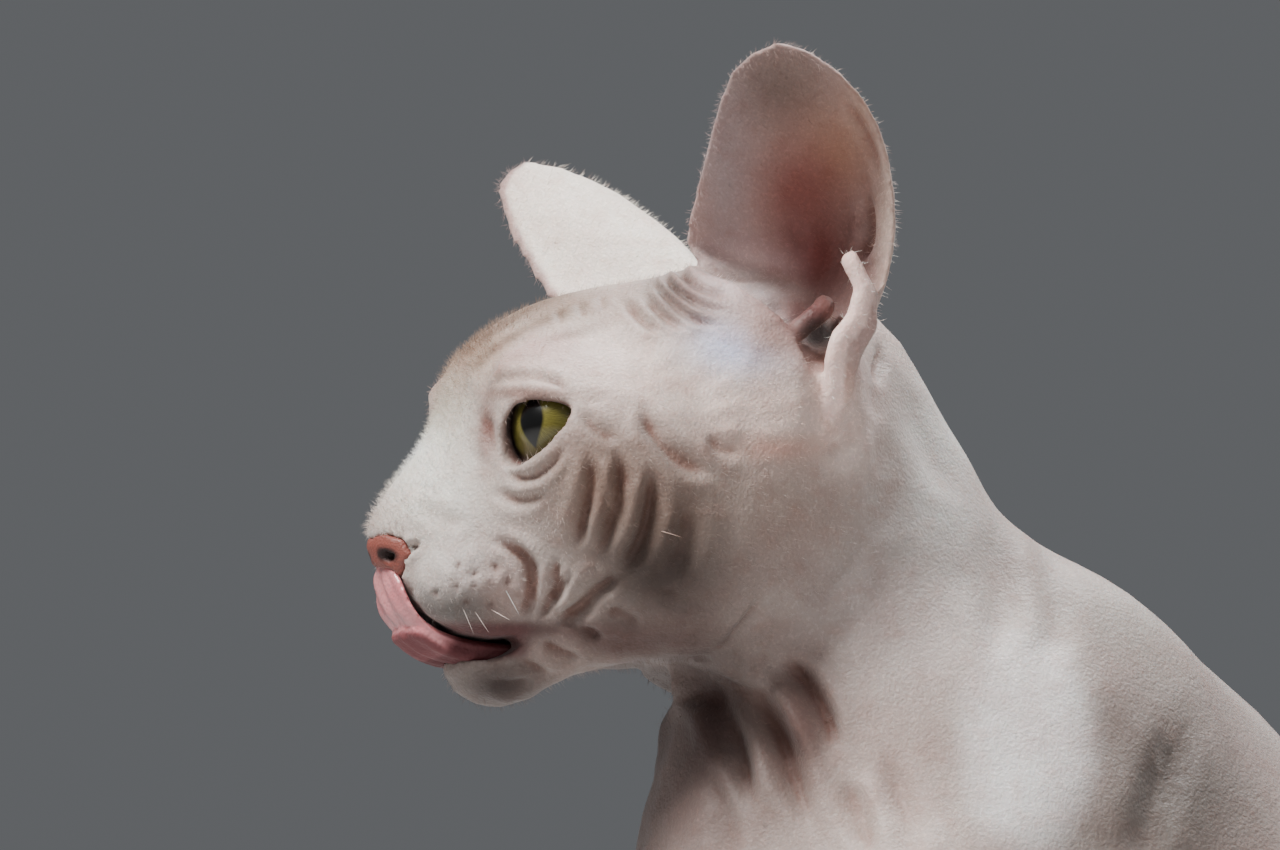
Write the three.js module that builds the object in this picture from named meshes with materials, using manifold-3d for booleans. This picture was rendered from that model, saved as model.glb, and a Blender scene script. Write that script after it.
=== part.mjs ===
// A sphynx cat sitting with its tongue out, life size, as a still display model.
// Millimetres, +Z up. The cat faces -Y and its left side is +X.
// The flesh is one body of smoothly joined masses, meshed region by region and parted by thin cuts.
// Head sizes are measured from the midpoint between the two eyeball centres.

import * as THREE from "three";
import { mergeVertices } from "three/addons/utils/BufferGeometryUtils.js";
import Module from "manifold-3d";

const wasm = await Module();
wasm.setup();

const EYE_HEIGHT = 268;
const GAP = 0.3;
const FAR = 400;
const RADIANS = Math.PI / 180;

const EYE_RADIUS = 10.7;
const EYE_SPREAD = 20;
const EYE_TURN_OUT = 17;
const LID_THICKNESS = 1.9;
const LID_LENGTH = 17.4;
const UPPER_LID_RISE = 6;
const LOWER_LID_DROP = 3.6;

const PAW_SPREAD = 25;
const PAW_FORWARD = -56;
const HIND_SPREAD = 47;
const HIND_FORWARD = -98;
const TOES = 4;

// A point from its distances forward, to the left and up.
function at(forward, left, up) {
  return new THREE.Vector3(left, -forward, up);
}

// The same, measured from between the eyes.
function onHead(forward, left, up) {
  return at(forward, left, up + EYE_HEIGHT);
}

// A rounded mass with radii forward, sideways and up; pitch tips its front end up.
function ball(centre, [rForward, rSide, rUp], blend = 8, pitch = 0) {
  const cosine = Math.cos(pitch * RADIANS);
  const sine = Math.sin(pitch * RADIANS);
  const distance = (x, y, z) => {
    const dy = y - centre.y;
    const dz = z - centre.z;
    const a = (-dy * cosine + dz * sine) / rForward;
    const b = (x - centre.x) / rSide;
    const c = (dy * sine + dz * cosine) / rUp;
    const whole = Math.hypot(a, b, c);
    const slope = Math.hypot(a / rForward, b / rSide, c / rUp);
    return slope < 1e-9 ? -Math.min(rForward, rSide, rUp) : (whole * (whole - 1)) / slope;
  };
  return { distance, blend };
}

// A tapering mass from one point to another; flat narrows it sideways.
function limb(from, to, fromRadius, toRadius, blend = 8, flat = 1) {
  const axis = to.clone().sub(from);
  const lengthSquared = axis.lengthSq();
  const distance = (x, y, z) => {
    const along = (x - from.x) * axis.x + (y - from.y) * axis.y + (z - from.z) * axis.z;
    const t = Math.min(1, Math.max(0, along / lengthSquared));
    const dx = (x - from.x - axis.x * t) / flat;
    const dy = y - from.y - axis.y * t;
    const dz = z - from.z - axis.z * t;
    return Math.hypot(dx, dy, dz) - fromRadius - (toRadius - fromRadius) * t;
  };
  return { distance, blend };
}

// A mass along a smooth curve through stations of [forward, left, up, radius].
function trunk(stations, blend, flat) {
  const path = new THREE.CatmullRomCurve3(stations.map(([f, l, u]) => at(f, l, u)));
  const girth = new THREE.CatmullRomCurve3(stations.map(([, , , r]) => new THREE.Vector3(r, 0, 0)));
  const steps = 12;
  const lengths = Array.from({ length: steps }, (_, n) => {
    const [from, to] = [n / steps, (n + 1) / steps];
    const [thick, thin] = [girth.getPoint(from).x, girth.getPoint(to).x];
    return limb(path.getPoint(from), path.getPoint(to), thick, thin, blend, flat);
  });
  const distance = (x, y, z) => Math.min(...lengths.map((part) => part.distance(x, y, z)));
  return { distance, blend };
}

// The left half's masses and their mirror images, joined smoothly into one distance field.
function flesh(masses) {
  return (x, y, z) => {
    const side = Math.abs(x);
    let joined = Infinity;
    for (const mass of masses) {
      const d = mass.distance(side, y, z);
      if (joined === Infinity) {
        joined = d;
        continue;
      }
      const overlap = Math.max(mass.blend - Math.abs(joined - d), 0) / mass.blend;
      joined = Math.min(joined, d) - (overlap * overlap * mass.blend) / 4;
    }
    return joined;
  };
}

function skullMasses() {
  return [
    ball(onHead(-31, 0, -1), [38, 31, 32], 8),
    ball(onHead(-8, 0, 5), [25, 24, 19.5], 14),
    ball(onHead(1.5, 16.5, 8.5), [12.5, 10.5, 6.5], 8),
    limb(onHead(5.5, 0, 0.5), onHead(22.5, 0, -16), 9, 7.2, 7, 1.05),
    ball(onHead(25.4, 0, -20.8), [7, 7.6, 6.4], 4),
    ball(onHead(-4, 0, -20), [26, 25, 21], 14),
    ball(onHead(10, 0, -25), [16, 14, 11], 9),
    ball(onHead(-12, 25.5, -7), [21, 12, 13], 12),
    ball(onHead(-26, 21, -21), [23, 15, 20], 14),
    ball(onHead(16.4, 10.2, -30), [10.6, 9.4, 8.8], 3.5),
    ball(onHead(-20, 0, -27), [26, 17, 12], 9),
    limb(onHead(-15, 15, -31), onHead(4, 6, -41), 10, 7.6, 8),
    ball(onHead(7.8, 0, -43.6), [9.8, 10.3, 8.1], 5),
    ball(onHead(-36, 20, 19), [17, 14, 14], 12),
    ball(onHead(-42, 29, 8), [13, 10, 17], 10),
    ball(onHead(0, EYE_SPREAD, 0), Array(3).fill(EYE_RADIUS + LID_THICKNESS), 4),
  ];
}

const BACK = [
  [-92, 0, 200, 49],
  [-113, 0, 171, 58.5],
  [-136, 0, 140, 61],
  [-160, 0, 108, 61],
  [-176, 0, 78, 58],
  [-184, 0, 50, 51],
];

function trunkMasses() {
  return [
    limb(onHead(-46, 0, -5), at(-81, 0, 205), 30, 37.5, 12, 0.92),
    limb(onHead(-56, 0, 8), at(-87, 0, 226), 22, 20, 10, 0.85),
    ball(at(-84, 0, 178), [54, 46, 56], 16),
    trunk(BACK, 14, 0.82),
    limb(at(-111, 19, 226), at(-66, 37, 168), 12, 19, 12, 0.8),
    limb(at(-64, 38, 166), at(-90, 38, 124), 20, 17, 12, 0.85),
    ball(at(-196, 22, 34), [38, 30, 34], 14),
    ball(at(-42, 0, 176), [18, 25, 38], 16),
  ];
}

function forelegMasses() {
  const wrist = at(-68, PAW_SPREAD + 1, 34);
  const masses = [
    limb(at(-86, 35, 122), at(-77, 30, 80), 16, 13, 12, 0.8),
    limb(at(-77, 30, 80), wrist, 13, 9.6, 8, 0.85),
    limb(wrist, at(PAW_FORWARD - 4, PAW_SPREAD, 13), 9.6, 10, 6),
    ball(at(PAW_FORWARD, PAW_SPREAD, 9.5), [15, 12.5, 10.5], 6),
  ];
  return masses.concat(toeMasses(PAW_FORWARD, PAW_SPREAD));
}

function hindlegMasses() {
  const knee = at(-118, 57, 76);
  const hock = at(-192, 46, 16);
  const masses = [
    ball(at(-164, 41, 64), [50, 23, 50], 14, -20),
    limb(at(-160, 45, 72), knee, 34, 20, 14, 0.62),
    limb(knee, hock, 17, 9.5, 12, 0.75),
    limb(hock, at(HIND_FORWARD - 6, HIND_SPREAD, 11), 10, 9.5, 8),
    ball(at(HIND_FORWARD, HIND_SPREAD, 8.5), [14, 11.5, 9.5], 6),
  ];
  return masses.concat(toeMasses(HIND_FORWARD, HIND_SPREAD));
}

// Four toes fan out from a paw, the middle two reaching furthest.
function toeMasses(forward, left) {
  const masses = [];
  for (let toe = 0; toe < TOES; toe += 1) {
    const side = toe - (TOES - 1) / 2;
    const reach = 21 - 2.4 * Math.abs(side) ** 1.6;
    const knuckle = at(forward + reach - 10, left + side * 5.4, 9.5);
    const tip = at(forward + reach - 2, left + side * 6.2, 5.2);
    masses.push(limb(knuckle, tip, 5.2, 4.7, 2.2));
  }
  return masses;
}

const headFlesh = flesh(skullMasses().concat(trunkMasses().slice(0, 2)));
const forelegFlesh = flesh(trunkMasses().concat(forelegMasses()));
const hindlegFlesh = flesh(trunkMasses().concat(hindlegMasses()));
const wholeFlesh = flesh(
  skullMasses().concat(trunkMasses(), forelegMasses(), hindlegMasses()),
);

// Grid lines from low to high whose spacing follows stepAt.
function gridLines(low, high, stepAt) {
  const lines = [low];
  while (lines[lines.length - 1] < high) {
    const last = lines[lines.length - 1];
    lines.push(last + stepAt(last));
  }
  return lines;
}

// Grid lines on both sides of the middle plane, alike on the left and right.
function evenLines(reach, stepAt) {
  const half = gridLines(stepAt(0) / 2, reach, stepAt);
  return half.map((v) => -v).reverse().concat(half);
}

// One vertex for each grid cell that the surface crosses, and one quad for each crossed grid edge.
// The vertices are then evened out and settled on the surface.
function meshField(field, xs, ys, zs) {
  const counts = [xs.length, ys.length, zs.length];
  const strides = [1, counts[0], counts[0] * counts[1]];
  const values = new Float32Array(counts[0] * counts[1] * counts[2]);
  zs.forEach((z, k) =>
    ys.forEach((y, j) =>
      xs.forEach((x, i) => {
        const border = [i, j, k].some((n, d) => n === 0 || n === counts[d] - 1);
        const value = border ? 1 : field(x, y, z);
        values[i + j * strides[1] + k * strides[2]] = value === 0 ? 1e-6 : value;
      }),
    ),
  );
  const lines = [xs, ys, zs];
  const corner = (n) => [
    n % strides[1],
    Math.floor(n / strides[1]) % counts[1],
    Math.floor(n / strides[2]),
  ];
  const cellVertex = new Map();
  const points = [];
  const vertexOf = (cell) => {
    if (cellVertex.has(cell)) return cellVertex.get(cell);
    const sum = new THREE.Vector3();
    let crossings = 0;
    for (let n = 0; n < 8; n += 1) {
      const start = cell + (n & 1) * strides[0] + ((n >> 1) & 1) * strides[1] + (n >> 2) * strides[2];
      for (let d = 0; d < 3; d += 1) {
        if ((n >> d) & 1) continue;
        const a = values[start];
        const b = values[start + strides[d]];
        if (a < 0 === b < 0) continue;
        const place = corner(start).map((m, e) => lines[e][m]);
        place[d] += (lines[d][corner(start)[d] + 1] - place[d]) * (a / (a - b));
        sum.add(new THREE.Vector3(...place));
        crossings += 1;
      }
    }
    cellVertex.set(cell, points.length);
    points.push(sum.divideScalar(crossings));
    return points.length - 1;
  };
  const quads = [];
  for (let n = 0; n < values.length; n += 1) {
    const place = corner(n);
    for (let d = 0; d < 3; d += 1) {
      const e = (d + 1) % 3;
      const f = (d + 2) % 3;
      if (place[d] >= counts[d] - 1 || place[e] < 1 || place[f] < 1) continue;
      const inside = values[n] < 0;
      if (inside === values[n + strides[d]] < 0) continue;
      const ring = [n, n - strides[e], n - strides[e] - strides[f], n - strides[f]].map(vertexOf);
      quads.push(inside ? ring : ring.reverse());
    }
  }
  settle(points, quads, field);
  return closedGeometry(points, quads);
}

// Evens out the vertices among their neighbours and slides each back onto the surface.
function settle(points, quads, field, rounds = 4) {
  const neighbours = points.map(() => new Set());
  quads.forEach((q) =>
    q.forEach((v, n) => neighbours[v].add(q[(n + 1) % 4]).add(q[(n + 3) % 4])),
  );
  const slide = (p) => {
    const h = 0.05;
    const value = field(p.x, p.y, p.z);
    const slope = new THREE.Vector3(
      field(p.x + h, p.y, p.z) - field(p.x - h, p.y, p.z),
      field(p.x, p.y + h, p.z) - field(p.x, p.y - h, p.z),
      field(p.x, p.y, p.z + h) - field(p.x, p.y, p.z - h),
    ).divideScalar(2 * h);
    const reach = Math.max(slope.lengthSq(), 0.2);
    p.addScaledVector(slope, -value / reach);
  };
  for (let round = 0; round < rounds; round += 1) {
    const middles = points.map((p, n) => {
      const middle = new THREE.Vector3();
      neighbours[n].forEach((m) => middle.add(points[m]));
      return middle.divideScalar(neighbours[n].size);
    });
    points.forEach((p, n) => p.lerp(middles[n], 0.5));
    points.forEach(slide);
  }
  points.forEach(slide);
}

// A closed geometry from points and faces of three or four corners, facing out.
function closedGeometry(points, faces) {
  const index = [];
  faces.forEach((f) => {
    for (let n = 2; n < f.length; n += 1) index.push(f[0], f[n - 1], f[n]);
  });
  return new THREE.BufferGeometry().setFromPoints(points).setIndex(index);
}

function solidOf(geometry) {
  const bare = geometry.clone();
  bare.deleteAttribute("normal");
  bare.deleteAttribute("uv");
  const merged = mergeVertices(bare, 1e-4);
  const solid = new wasm.Manifold(
    new wasm.Mesh({
      numProp: 3,
      vertProperties: new Float32Array(merged.attributes.position.array),
      triVerts: new Uint32Array(merged.index.array),
    }),
  );
  return solid;
}

// The largest closed body of a solid, without the loose scraps that a cut can leave.
function largest(solid) {
  const bodies = solid.decompose();
  return bodies.reduce((a, b) => (b.volume() > a.volume() ? b : a));
}

function geometryOf(solid) {
  const mesh = solid.getMesh();
  const points = [];
  for (let n = 0; n < mesh.numVert; n += 1) {
    points.push(new THREE.Vector3().fromArray(mesh.vertProperties, n * mesh.numProp));
  }
  return new THREE.BufferGeometry()
    .setFromPoints(points)
    .setIndex(new THREE.BufferAttribute(new Uint32Array(mesh.triVerts), 1));
}

// A side-view outline of [forward, up] points, carried sideways from one plane to another.
function sideBlock(outline, fromSide, toSide) {
  const points = outline.map(([forward, up]) => new THREE.Vector2(-forward, up));
  const shape = new THREE.Shape(points);
  const depth = toSide - fromSide;
  const block = new THREE.ExtrudeGeometry(shape, { depth, bevelEnabled: false });
  block.rotateX(Math.PI / 2).rotateZ(Math.PI / 2).translate(fromSide, 0, 0);
  return solidOf(block);
}

// The left leg's side of its cut; grow widens it by the gap.
function legRegion(outline, side, grow) {
  const middle = outline.reduce((sum, [forward]) => sum + forward / outline.length, 0);
  const grown = outline.map(([forward, up]) => [
    forward + Math.sign(forward - middle) * grow,
    up > 60 ? up + grow : up,
  ]);
  return sideBlock(grown, side - grow, 110);
}

// Everything on the far side of a plane through a point, square to a direction in the middle plane.
function halfSpace(point, forward, up, shift = 0) {
  const block = new THREE.BoxGeometry(2 * FAR, 2 * FAR, 2 * FAR).translate(0, 0, FAR + shift);
  const direction = at(forward, 0, up).normalize();
  block.applyQuaternion(new THREE.Quaternion().setFromUnitVectors(at(0, 0, 1), direction));
  block.translate(point.x, point.y, point.z);
  return solidOf(block);
}

const floor = halfSpace(at(0, 0, 0), 0, 1);

// The head's side of the neck, and the neck's side of the trunk.
const HEAD_CUT = { point: onHead(-46, 0, -12), forward: 0.86, up: 0.51 };
const NECK_CUT = { point: onHead(-66, 0, -47), forward: 0.68, up: 0.73 };

function ahead(cut) {
  return halfSpace(cut.point, cut.forward, cut.up, GAP / 2);
}

function behind(cut) {
  return halfSpace(cut.point, -cut.forward, -cut.up, GAP / 2);
}

function mirrored(solid) {
  return solid.mirror([1, 0, 0]);
}

// The head's flesh before the eyes, mouth and ears are cut, meshed finely at the face.
function headBlock(field) {
  const front = (y) => 4.4 + 5.6 * THREE.MathUtils.smoothstep(y, -12, 20);
  const xs = evenLines(60, (x) => 4.8 + 3.4 * THREE.MathUtils.smoothstep(x, 18, 32));
  const ys = gridLines(-44, 92, front);
  const zs = gridLines(EYE_HEIGHT - 66, EYE_HEIGHT + 48, (z) =>
    4.6 + 3.6 * THREE.MathUtils.smoothstep(z, EYE_HEIGHT + 6, EYE_HEIGHT + 20),
  );
  const limit = HEAD_CUT;
  const direction = at(limit.forward, 0, limit.up).normalize();
  const cut = (x, y, z) =>
    -8 - direction.dot(new THREE.Vector3(x, y, z).sub(limit.point));
  return solidOf(meshField((x, y, z) => Math.max(field(x, y, z), cut(x, y, z)), xs, ys, zs));
}

// An eyeball with its bulging cornea, turned about its own optical axis.
function eyeball(side) {
  const corneaRadius = 8.4;
  const corneaForward = 4.1;
  const profile = [];
  const steps = 14;
  for (let n = 0; n <= steps; n += 1) {
    const angle = (Math.PI * n) / steps;
    const height = -Math.cos(angle);
    const ballReach = EYE_RADIUS;
    const sine = Math.sqrt(1 - height * height);
    const inner = corneaForward * height;
    const corneaReach = inner + Math.sqrt(corneaRadius ** 2 - corneaForward ** 2 * sine * sine);
    const reach = Math.max(ballReach, height > 0 ? corneaReach : 0);
    profile.push(new THREE.Vector2(n % steps === 0 ? 0 : reach * sine, reach * height));
  }
  const eye = new THREE.LatheGeometry(profile, 18);
  eye.applyQuaternion(
    new THREE.Quaternion().setFromUnitVectors(new THREE.Vector3(0, 1, 0), opticalAxis(side)),
  );
  eye.translate(...onHead(0, side * EYE_SPREAD, 0).toArray());
  return solidOf(eye);
}

function opticalAxis(side) {
  const out = EYE_TURN_OUT * RADIANS;
  return at(Math.cos(out), side * Math.sin(out), 0.05).normalize();
}

// The lemon-shaped opening between the lids, flaring out from the eyeball's surface.
const LID_FLARE = [
  [7, 0.97],
  [9.6, 1],
  [13, 1.16],
  [26, 1.8],
];

function lidOpening(side) {
  const half = LID_LENGTH / 2;
  const rim = new THREE.SplineCurve(
    [
      [-half, 0],
      [-half * 0.74, UPPER_LID_RISE * 0.7],
      [-half * 0.1, UPPER_LID_RISE],
      [half * 0.6, UPPER_LID_RISE * 0.62],
      [half, 0],
      [half * 0.5, -LOWER_LID_DROP * 0.8],
      [-half * 0.1, -LOWER_LID_DROP],
      [-half * 0.68, -LOWER_LID_DROP * 0.72],
      [-half, 0],
    ].map(([a, b]) => new THREE.Vector2(a, b)),
  ).getPoints(26);
  rim.pop();
  const along = at(-0.437, 0.732, 0.525);
  const out = at(0.9, 0.43, -0.06);
  out.addScaledVector(along, -out.dot(along)).normalize();
  const across = new THREE.Vector3().crossVectors(out, along).normalize();
  if (across.z < 0) across.negate();
  const centre = onHead(-2.1, EYE_SPREAD, -2.5);
  const points = [];
  const faces = [];
  LID_FLARE.forEach(([depth, share]) =>
    rim.forEach(({ x, y }) => {
      const p = centre.clone().addScaledVector(out, depth);
      points.push(p.addScaledVector(along, x * share).addScaledVector(across, y * share));
    }),
  );
  const count = rim.length;
  const last = (LID_FLARE.length - 1) * count;
  const ends = [points.length, points.length + 1];
  points.push(centre.clone().addScaledVector(out, LID_FLARE[0][0]));
  points.push(centre.clone().addScaledVector(out, LID_FLARE[LID_FLARE.length - 1][0]));
  for (let n = 0; n < count; n += 1) {
    const m = (n + 1) % count;
    for (let ring = 0; ring < last; ring += count) {
      faces.push([ring + n, ring + m + count, ring + m], [ring + n, ring + n + count, ring + m + count]);
    }
    faces.push([ends[0], n, m], [ends[1], last + m, last + n]);
  }
  const solid = solidOf(closedGeometry(points, faces));
  return side > 0 ? solid : mirrored(solid);
}

// The ear's rim from its front root over the tip and down to the cheek, then back across the front.
const EAR_RIM = [
  [-23.6, 20, 36.4],
  [-22.6, 30, 46],
  [-21.9, 40, 57.2],
  [-23.5, 48, 67.2],
  [-30.2, 53, 71.5],
  [-40.1, 54, 67.5],
  [-49.2, 52, 59.5],
  [-54.4, 49, 48.7],
  [-56.4, 46.5, 38],
  [-55.5, 44.5, 28],
  [-52.2, 43, 18.5],
  [-47.8, 40.5, 9],
  [-42.5, 37.5, 10.5],
  [-38.5, 34, 17.5],
  [-33.5, 30, 23.5],
  [-27.5, 24.5, 29],
];
const EAR_CANAL = [-47, 26, 27];
const EAR_FACING = at(0.5, 0.86, -0.1).normalize();
const EAR_AROUND = 28;
const EAR_DEEP = 6;
const EAR_REACH = 0.98;
const EAR_CLEARANCE = 1.03;
const EAR_RIM_THICKNESS = 2;
const EAR_ROOT_THICKNESS = 10;

// The inner face of the ear: a curve from the canal out to each point of the rim, sunk into a cup.
function earInner(around, outwards) {
  const rim = new THREE.CatmullRomCurve3(
    EAR_RIM.map((p) => onHead(...EAR_CANAL).lerp(onHead(...p), EAR_REACH)),
    true,
    "centripetal",
  ).getPoint(around);
  const canal = onHead(...EAR_CANAL);
  const leaf = THREE.MathUtils.smoothstep(rim.z - EYE_HEIGHT, 18, 60);
  const back = THREE.MathUtils.smoothstep(rim.y, 30, 58);
  const middle = canal.clone().lerp(rim, 0.5);
  middle.addScaledVector(EAR_FACING, -(4 + 5 * leaf + 7 * back));
  const a = canal.clone().lerp(middle, outwards);
  const b = middle.clone().lerp(rim, outwards);
  return a.lerp(b, outwards);
}

// The ear as one closed body: the cup's inner face, a rounded rim, and an outer face that
// thickens to the root.
function earSolid(grow = 0) {
  const inner = [];
  const outer = [];
  for (let ring = 0; ring <= EAR_DEEP; ring += 1) {
    const outwards = ((ring + 0.6) / (EAR_DEEP + 0.6)) ** 0.9 * (grow > 0 ? EAR_CLEARANCE : 1);
    const thickness =
      EAR_RIM_THICKNESS + (EAR_ROOT_THICKNESS - EAR_RIM_THICKNESS) * Math.max(0, 1 - outwards) ** 1.6 + grow;
    for (let n = 0; n < EAR_AROUND; n += 1) {
      const around = n / EAR_AROUND;
      const p = earInner(around, outwards);
      inner.push(p);
      outer.push(p.clone().addScaledVector(EAR_FACING, -thickness));
    }
  }
  const points = [...inner, ...outer];
  const faces = [];
  const innerStart = (ring) => ring * EAR_AROUND;
  const outerStart = (ring) => (EAR_DEEP + 1 + ring) * EAR_AROUND;
  for (let n = 0; n < EAR_AROUND; n += 1) {
    const m = (n + 1) % EAR_AROUND;
    for (let ring = 0; ring < EAR_DEEP; ring += 1) {
      const a = innerStart(ring);
      const b = innerStart(ring + 1);
      faces.push([a + n, b + m, b + n], [a + n, a + m, b + m]);
      const c = outerStart(ring);
      const d = outerStart(ring + 1);
      faces.push([c + n, d + m, c + m], [c + n, d + n, d + m]);
    }
    const last = innerStart(EAR_DEEP);
    const back = outerStart(EAR_DEEP);
    faces.push([last + n, back + m, back + n], [last + n, last + m, back + m]);
  }
  const innerPole = points.length;
  points.push(onHead(...EAR_CANAL).addScaledVector(EAR_FACING, -0.4));
  const outerPole = points.length;
  points.push(onHead(...EAR_CANAL).addScaledVector(EAR_FACING, -EAR_ROOT_THICKNESS - grow));
  for (let n = 0; n < EAR_AROUND; n += 1) {
    const m = (n + 1) % EAR_AROUND;
    faces.push([innerPole, m, n], [outerPole, outerStart(0) + n, outerStart(0) + m]);
  }
  return solidOf(closedGeometry(points, faces));
}

// The hollow of the ear's cup, closed by a fan from a point in front of it.
function earHollow() {
  const points = [];
  const faces = [];
  for (let ring = 0; ring <= EAR_DEEP; ring += 1) {
    const outwards = ((ring + 0.6) / (EAR_DEEP + 0.6)) ** 0.9 * EAR_CLEARANCE;
    for (let n = 0; n < EAR_AROUND; n += 1) points.push(earInner(n / EAR_AROUND, outwards));
  }
  const bottom = points.length;
  points.push(onHead(...EAR_CANAL).addScaledVector(EAR_FACING, -0.4));
  const front = points.length;
  points.push(onHead(-30, 100, 62));
  const last = EAR_DEEP * EAR_AROUND;
  for (let n = 0; n < EAR_AROUND; n += 1) {
    const m = (n + 1) % EAR_AROUND;
    for (let ring = 0; ring < EAR_DEEP; ring += 1) {
      const a = ring * EAR_AROUND;
      const b = a + EAR_AROUND;
      faces.push([a + n, b + n, b + m], [a + n, b + m, a + m]);
    }
    faces.push([bottom, n, m], [front, last + m, last + n]);
  }
  return solidOf(closedGeometry(points, faces));
}

// The right ear is the left one's mirror image, set further forward and leaning forward.
function rightEarPose(solid) {
  const canal = onHead(...EAR_CANAL).multiply(new THREE.Vector3(-1, 1, 1));
  const lean = new THREE.Matrix4().makeRotationFromEuler(
    new THREE.Euler(12.7 * RADIANS, -2.4 * RADIANS, -6.1 * RADIANS, "YXZ"),
  );
  const turn = new THREE.Matrix4()
    .makeTranslation(canal.x - 2.8, canal.y - 6.6, canal.z - 5.1)
    .multiply(lean)
    .multiply(new THREE.Matrix4().makeTranslation(-canal.x, -canal.y, -canal.z));
  return mirrored(solid).transform(turn.elements);
}

// A tube of varying oval section along a path of points, closed at both ends.
function taperedTube(path, widthAt, heightAt, steps, around, up = at(0, 0, 1)) {
  const curve = new THREE.CatmullRomCurve3(path, false, "centripetal");
  const points = [];
  const faces = [];
  for (let n = 0; n <= steps; n += 1) {
    const t = n / steps;
    const middle = curve.getPointAt(t);
    const tangent = curve.getTangentAt(t);
    const side = new THREE.Vector3().crossVectors(tangent, up).normalize();
    const rise = new THREE.Vector3().crossVectors(tangent, side);
    for (let m = 0; m < around; m += 1) {
      const angle = (2 * Math.PI * m) / around;
      const p = middle.clone().addScaledVector(side, Math.cos(angle) * widthAt(t));
      points.push(p.addScaledVector(rise, Math.sin(angle) * heightAt(t)));
    }
  }
  for (let n = 0; n < steps; n += 1) {
    for (let m = 0; m < around; m += 1) {
      const k = (m + 1) % around;
      const a = n * around;
      const b = a + around;
      faces.push([a + m, a + k, b + k], [a + m, b + k, b + m]);
    }
  }
  const ends = [points.length, points.length + 1];
  points.push(curve.getPointAt(0), curve.getPointAt(1));
  for (let m = 0; m < around; m += 1) {
    const k = (m + 1) % around;
    faces.push([ends[0], k, m], [ends[1], steps * around + m, steps * around + k]);
  }
  const solid = solidOf(closedGeometry(points, faces));
  return solid;
}

// The gap between the lips, seen from the side.
const MOUTH_GAP = [
  [60, -29],
  [28.5, -32.5],
  [24, -35.8],
  [18, -38.7],
  [11.9, -39.6],
  [4.5, -38.9],
  [8.8, -43],
  [12.4, -44.1],
  [19.9, -43.7],
  [60, -43],
].map(([forward, up]) => [forward, up + EYE_HEIGHT]);

// The lower jaw, from the corner of the mouth down to the throat.
const JAW = [
  [5.5, -41],
  [60, -41],
  [60, -80],
  [-9, -80],
  [-5, -52],
].map(([forward, up]) => [forward, up + EYE_HEIGHT]);

function tongueSolid(grow = 0) {
  const path = [
    [0, -41.6],
    [10, -41.6],
    [18, -40.4],
    [23.4, -38],
    [27, -34],
    [28.8, -29.2],
    [29.6, -24.6],
  ].map(([forward, up]) => onHead(forward, -1.2, up));
  const width = (t) => 9.4 * Math.sqrt(Math.max(0.02, 1 - Math.max(0, (t - 0.55) / 0.46) ** 2.4)) + grow;
  const height = (t) => 1.75 - 0.5 * t + grow;
  return taperedTube(path, width, height, 16, 12, at(-0.7, 0, 0.7));
}

// The bare leather of the nose, seen from the front as [left, up] points.
function noseBlock(inset) {
  const outline = [
    [0, -20.6],
    [4.2, -20],
    [8, -21.4],
    [9, -24.2],
    [6, -27.4],
    [2.2, -29.2],
    [0, -30],
    [-2.2, -29.2],
    [-6, -27.4],
    [-9, -24.2],
    [-8, -21.4],
    [-4.2, -20],
  ].map(([left, up]) => new THREE.Vector2(left * (1 - inset / 7), (up + 24.8) * (1 - inset / 5) - 24.8));
  const block = new THREE.ExtrudeGeometry(new THREE.Shape(outline), { depth: 30, bevelEnabled: false });
  block.rotateX(Math.PI / 2).translate(0, -26.4 - inset, EYE_HEIGHT);
  return solidOf(block);
}

// A comma-shaped nostril: a hole that curls back into a slit at the wing of the nose.
function nostril(side) {
  const path = [
    onHead(36, side * 3.6, -25.2),
    onHead(30, side * 4.4, -24.2),
    onHead(26.8, side * 6.4, -23.4),
    onHead(25.4, side * 9.2, -22.6),
  ];
  return taperedTube(path, () => 1.3, () => 1.3, 8, 8);
}

// Where the legs part from the trunk, as side-view outlines of [forward, up] points.
const FORELEG = [
  [-16, -20],
  [-20, 116],
  [-64, 116],
  [-98, 104],
  [-98, -20],
];
const FORELEG_SIDE = 12;
const HINDLEG = [
  [-64, -20],
  [-66, 30],
  [-92, 60],
  [-98, 92],
  [-110, 104],
  [-136, 113],
  [-170, 112],
  [-200, 95],
  [-222, 62],
  [-231, 24],
  [-228, -20],
];
const HINDLEG_SIDE = 33;

// The body behind the neck's cut with its legs, before it is parted.
function bodyBlock() {
  const xs = evenLines(84, (x) => 9 + 4 * THREE.MathUtils.smoothstep(x, 20, 50));
  const ys = gridLines(-4, 262, (y) => 11 + 5 * THREE.MathUtils.smoothstep(y, 60, 120));
  const zs = gridLines(-10, 300, () => 12.5);
  const direction = at(HEAD_CUT.forward, 0, HEAD_CUT.up).normalize();
  const limit = (x, y, z) => direction.dot(new THREE.Vector3(x, y, z).sub(HEAD_CUT.point)) - 8;
  return solidOf(meshField((x, y, z) => Math.max(wholeFlesh(x, y, z), limit(x, y, z)), xs, ys, zs));
}

// A left leg and its paw, finer towards the floor; reach is its front, back, inner and outer limits.
function legBlock(field, [front, back, inner, outer], top) {
  const xs = gridLines(inner, outer, () => 5);
  const ys = gridLines(-front, -back, (y) => 5.2 + 8 * THREE.MathUtils.smoothstep(y, 76, 130));
  const zs = gridLines(-9, top, (z) => 4.6 + 8 * THREE.MathUtils.smoothstep(z, 12, 40));
  return solidOf(meshField(field, xs, ys, zs));
}

const TAIL_STEPS = 27;
const TAIL_LENGTHS = 3;

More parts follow.
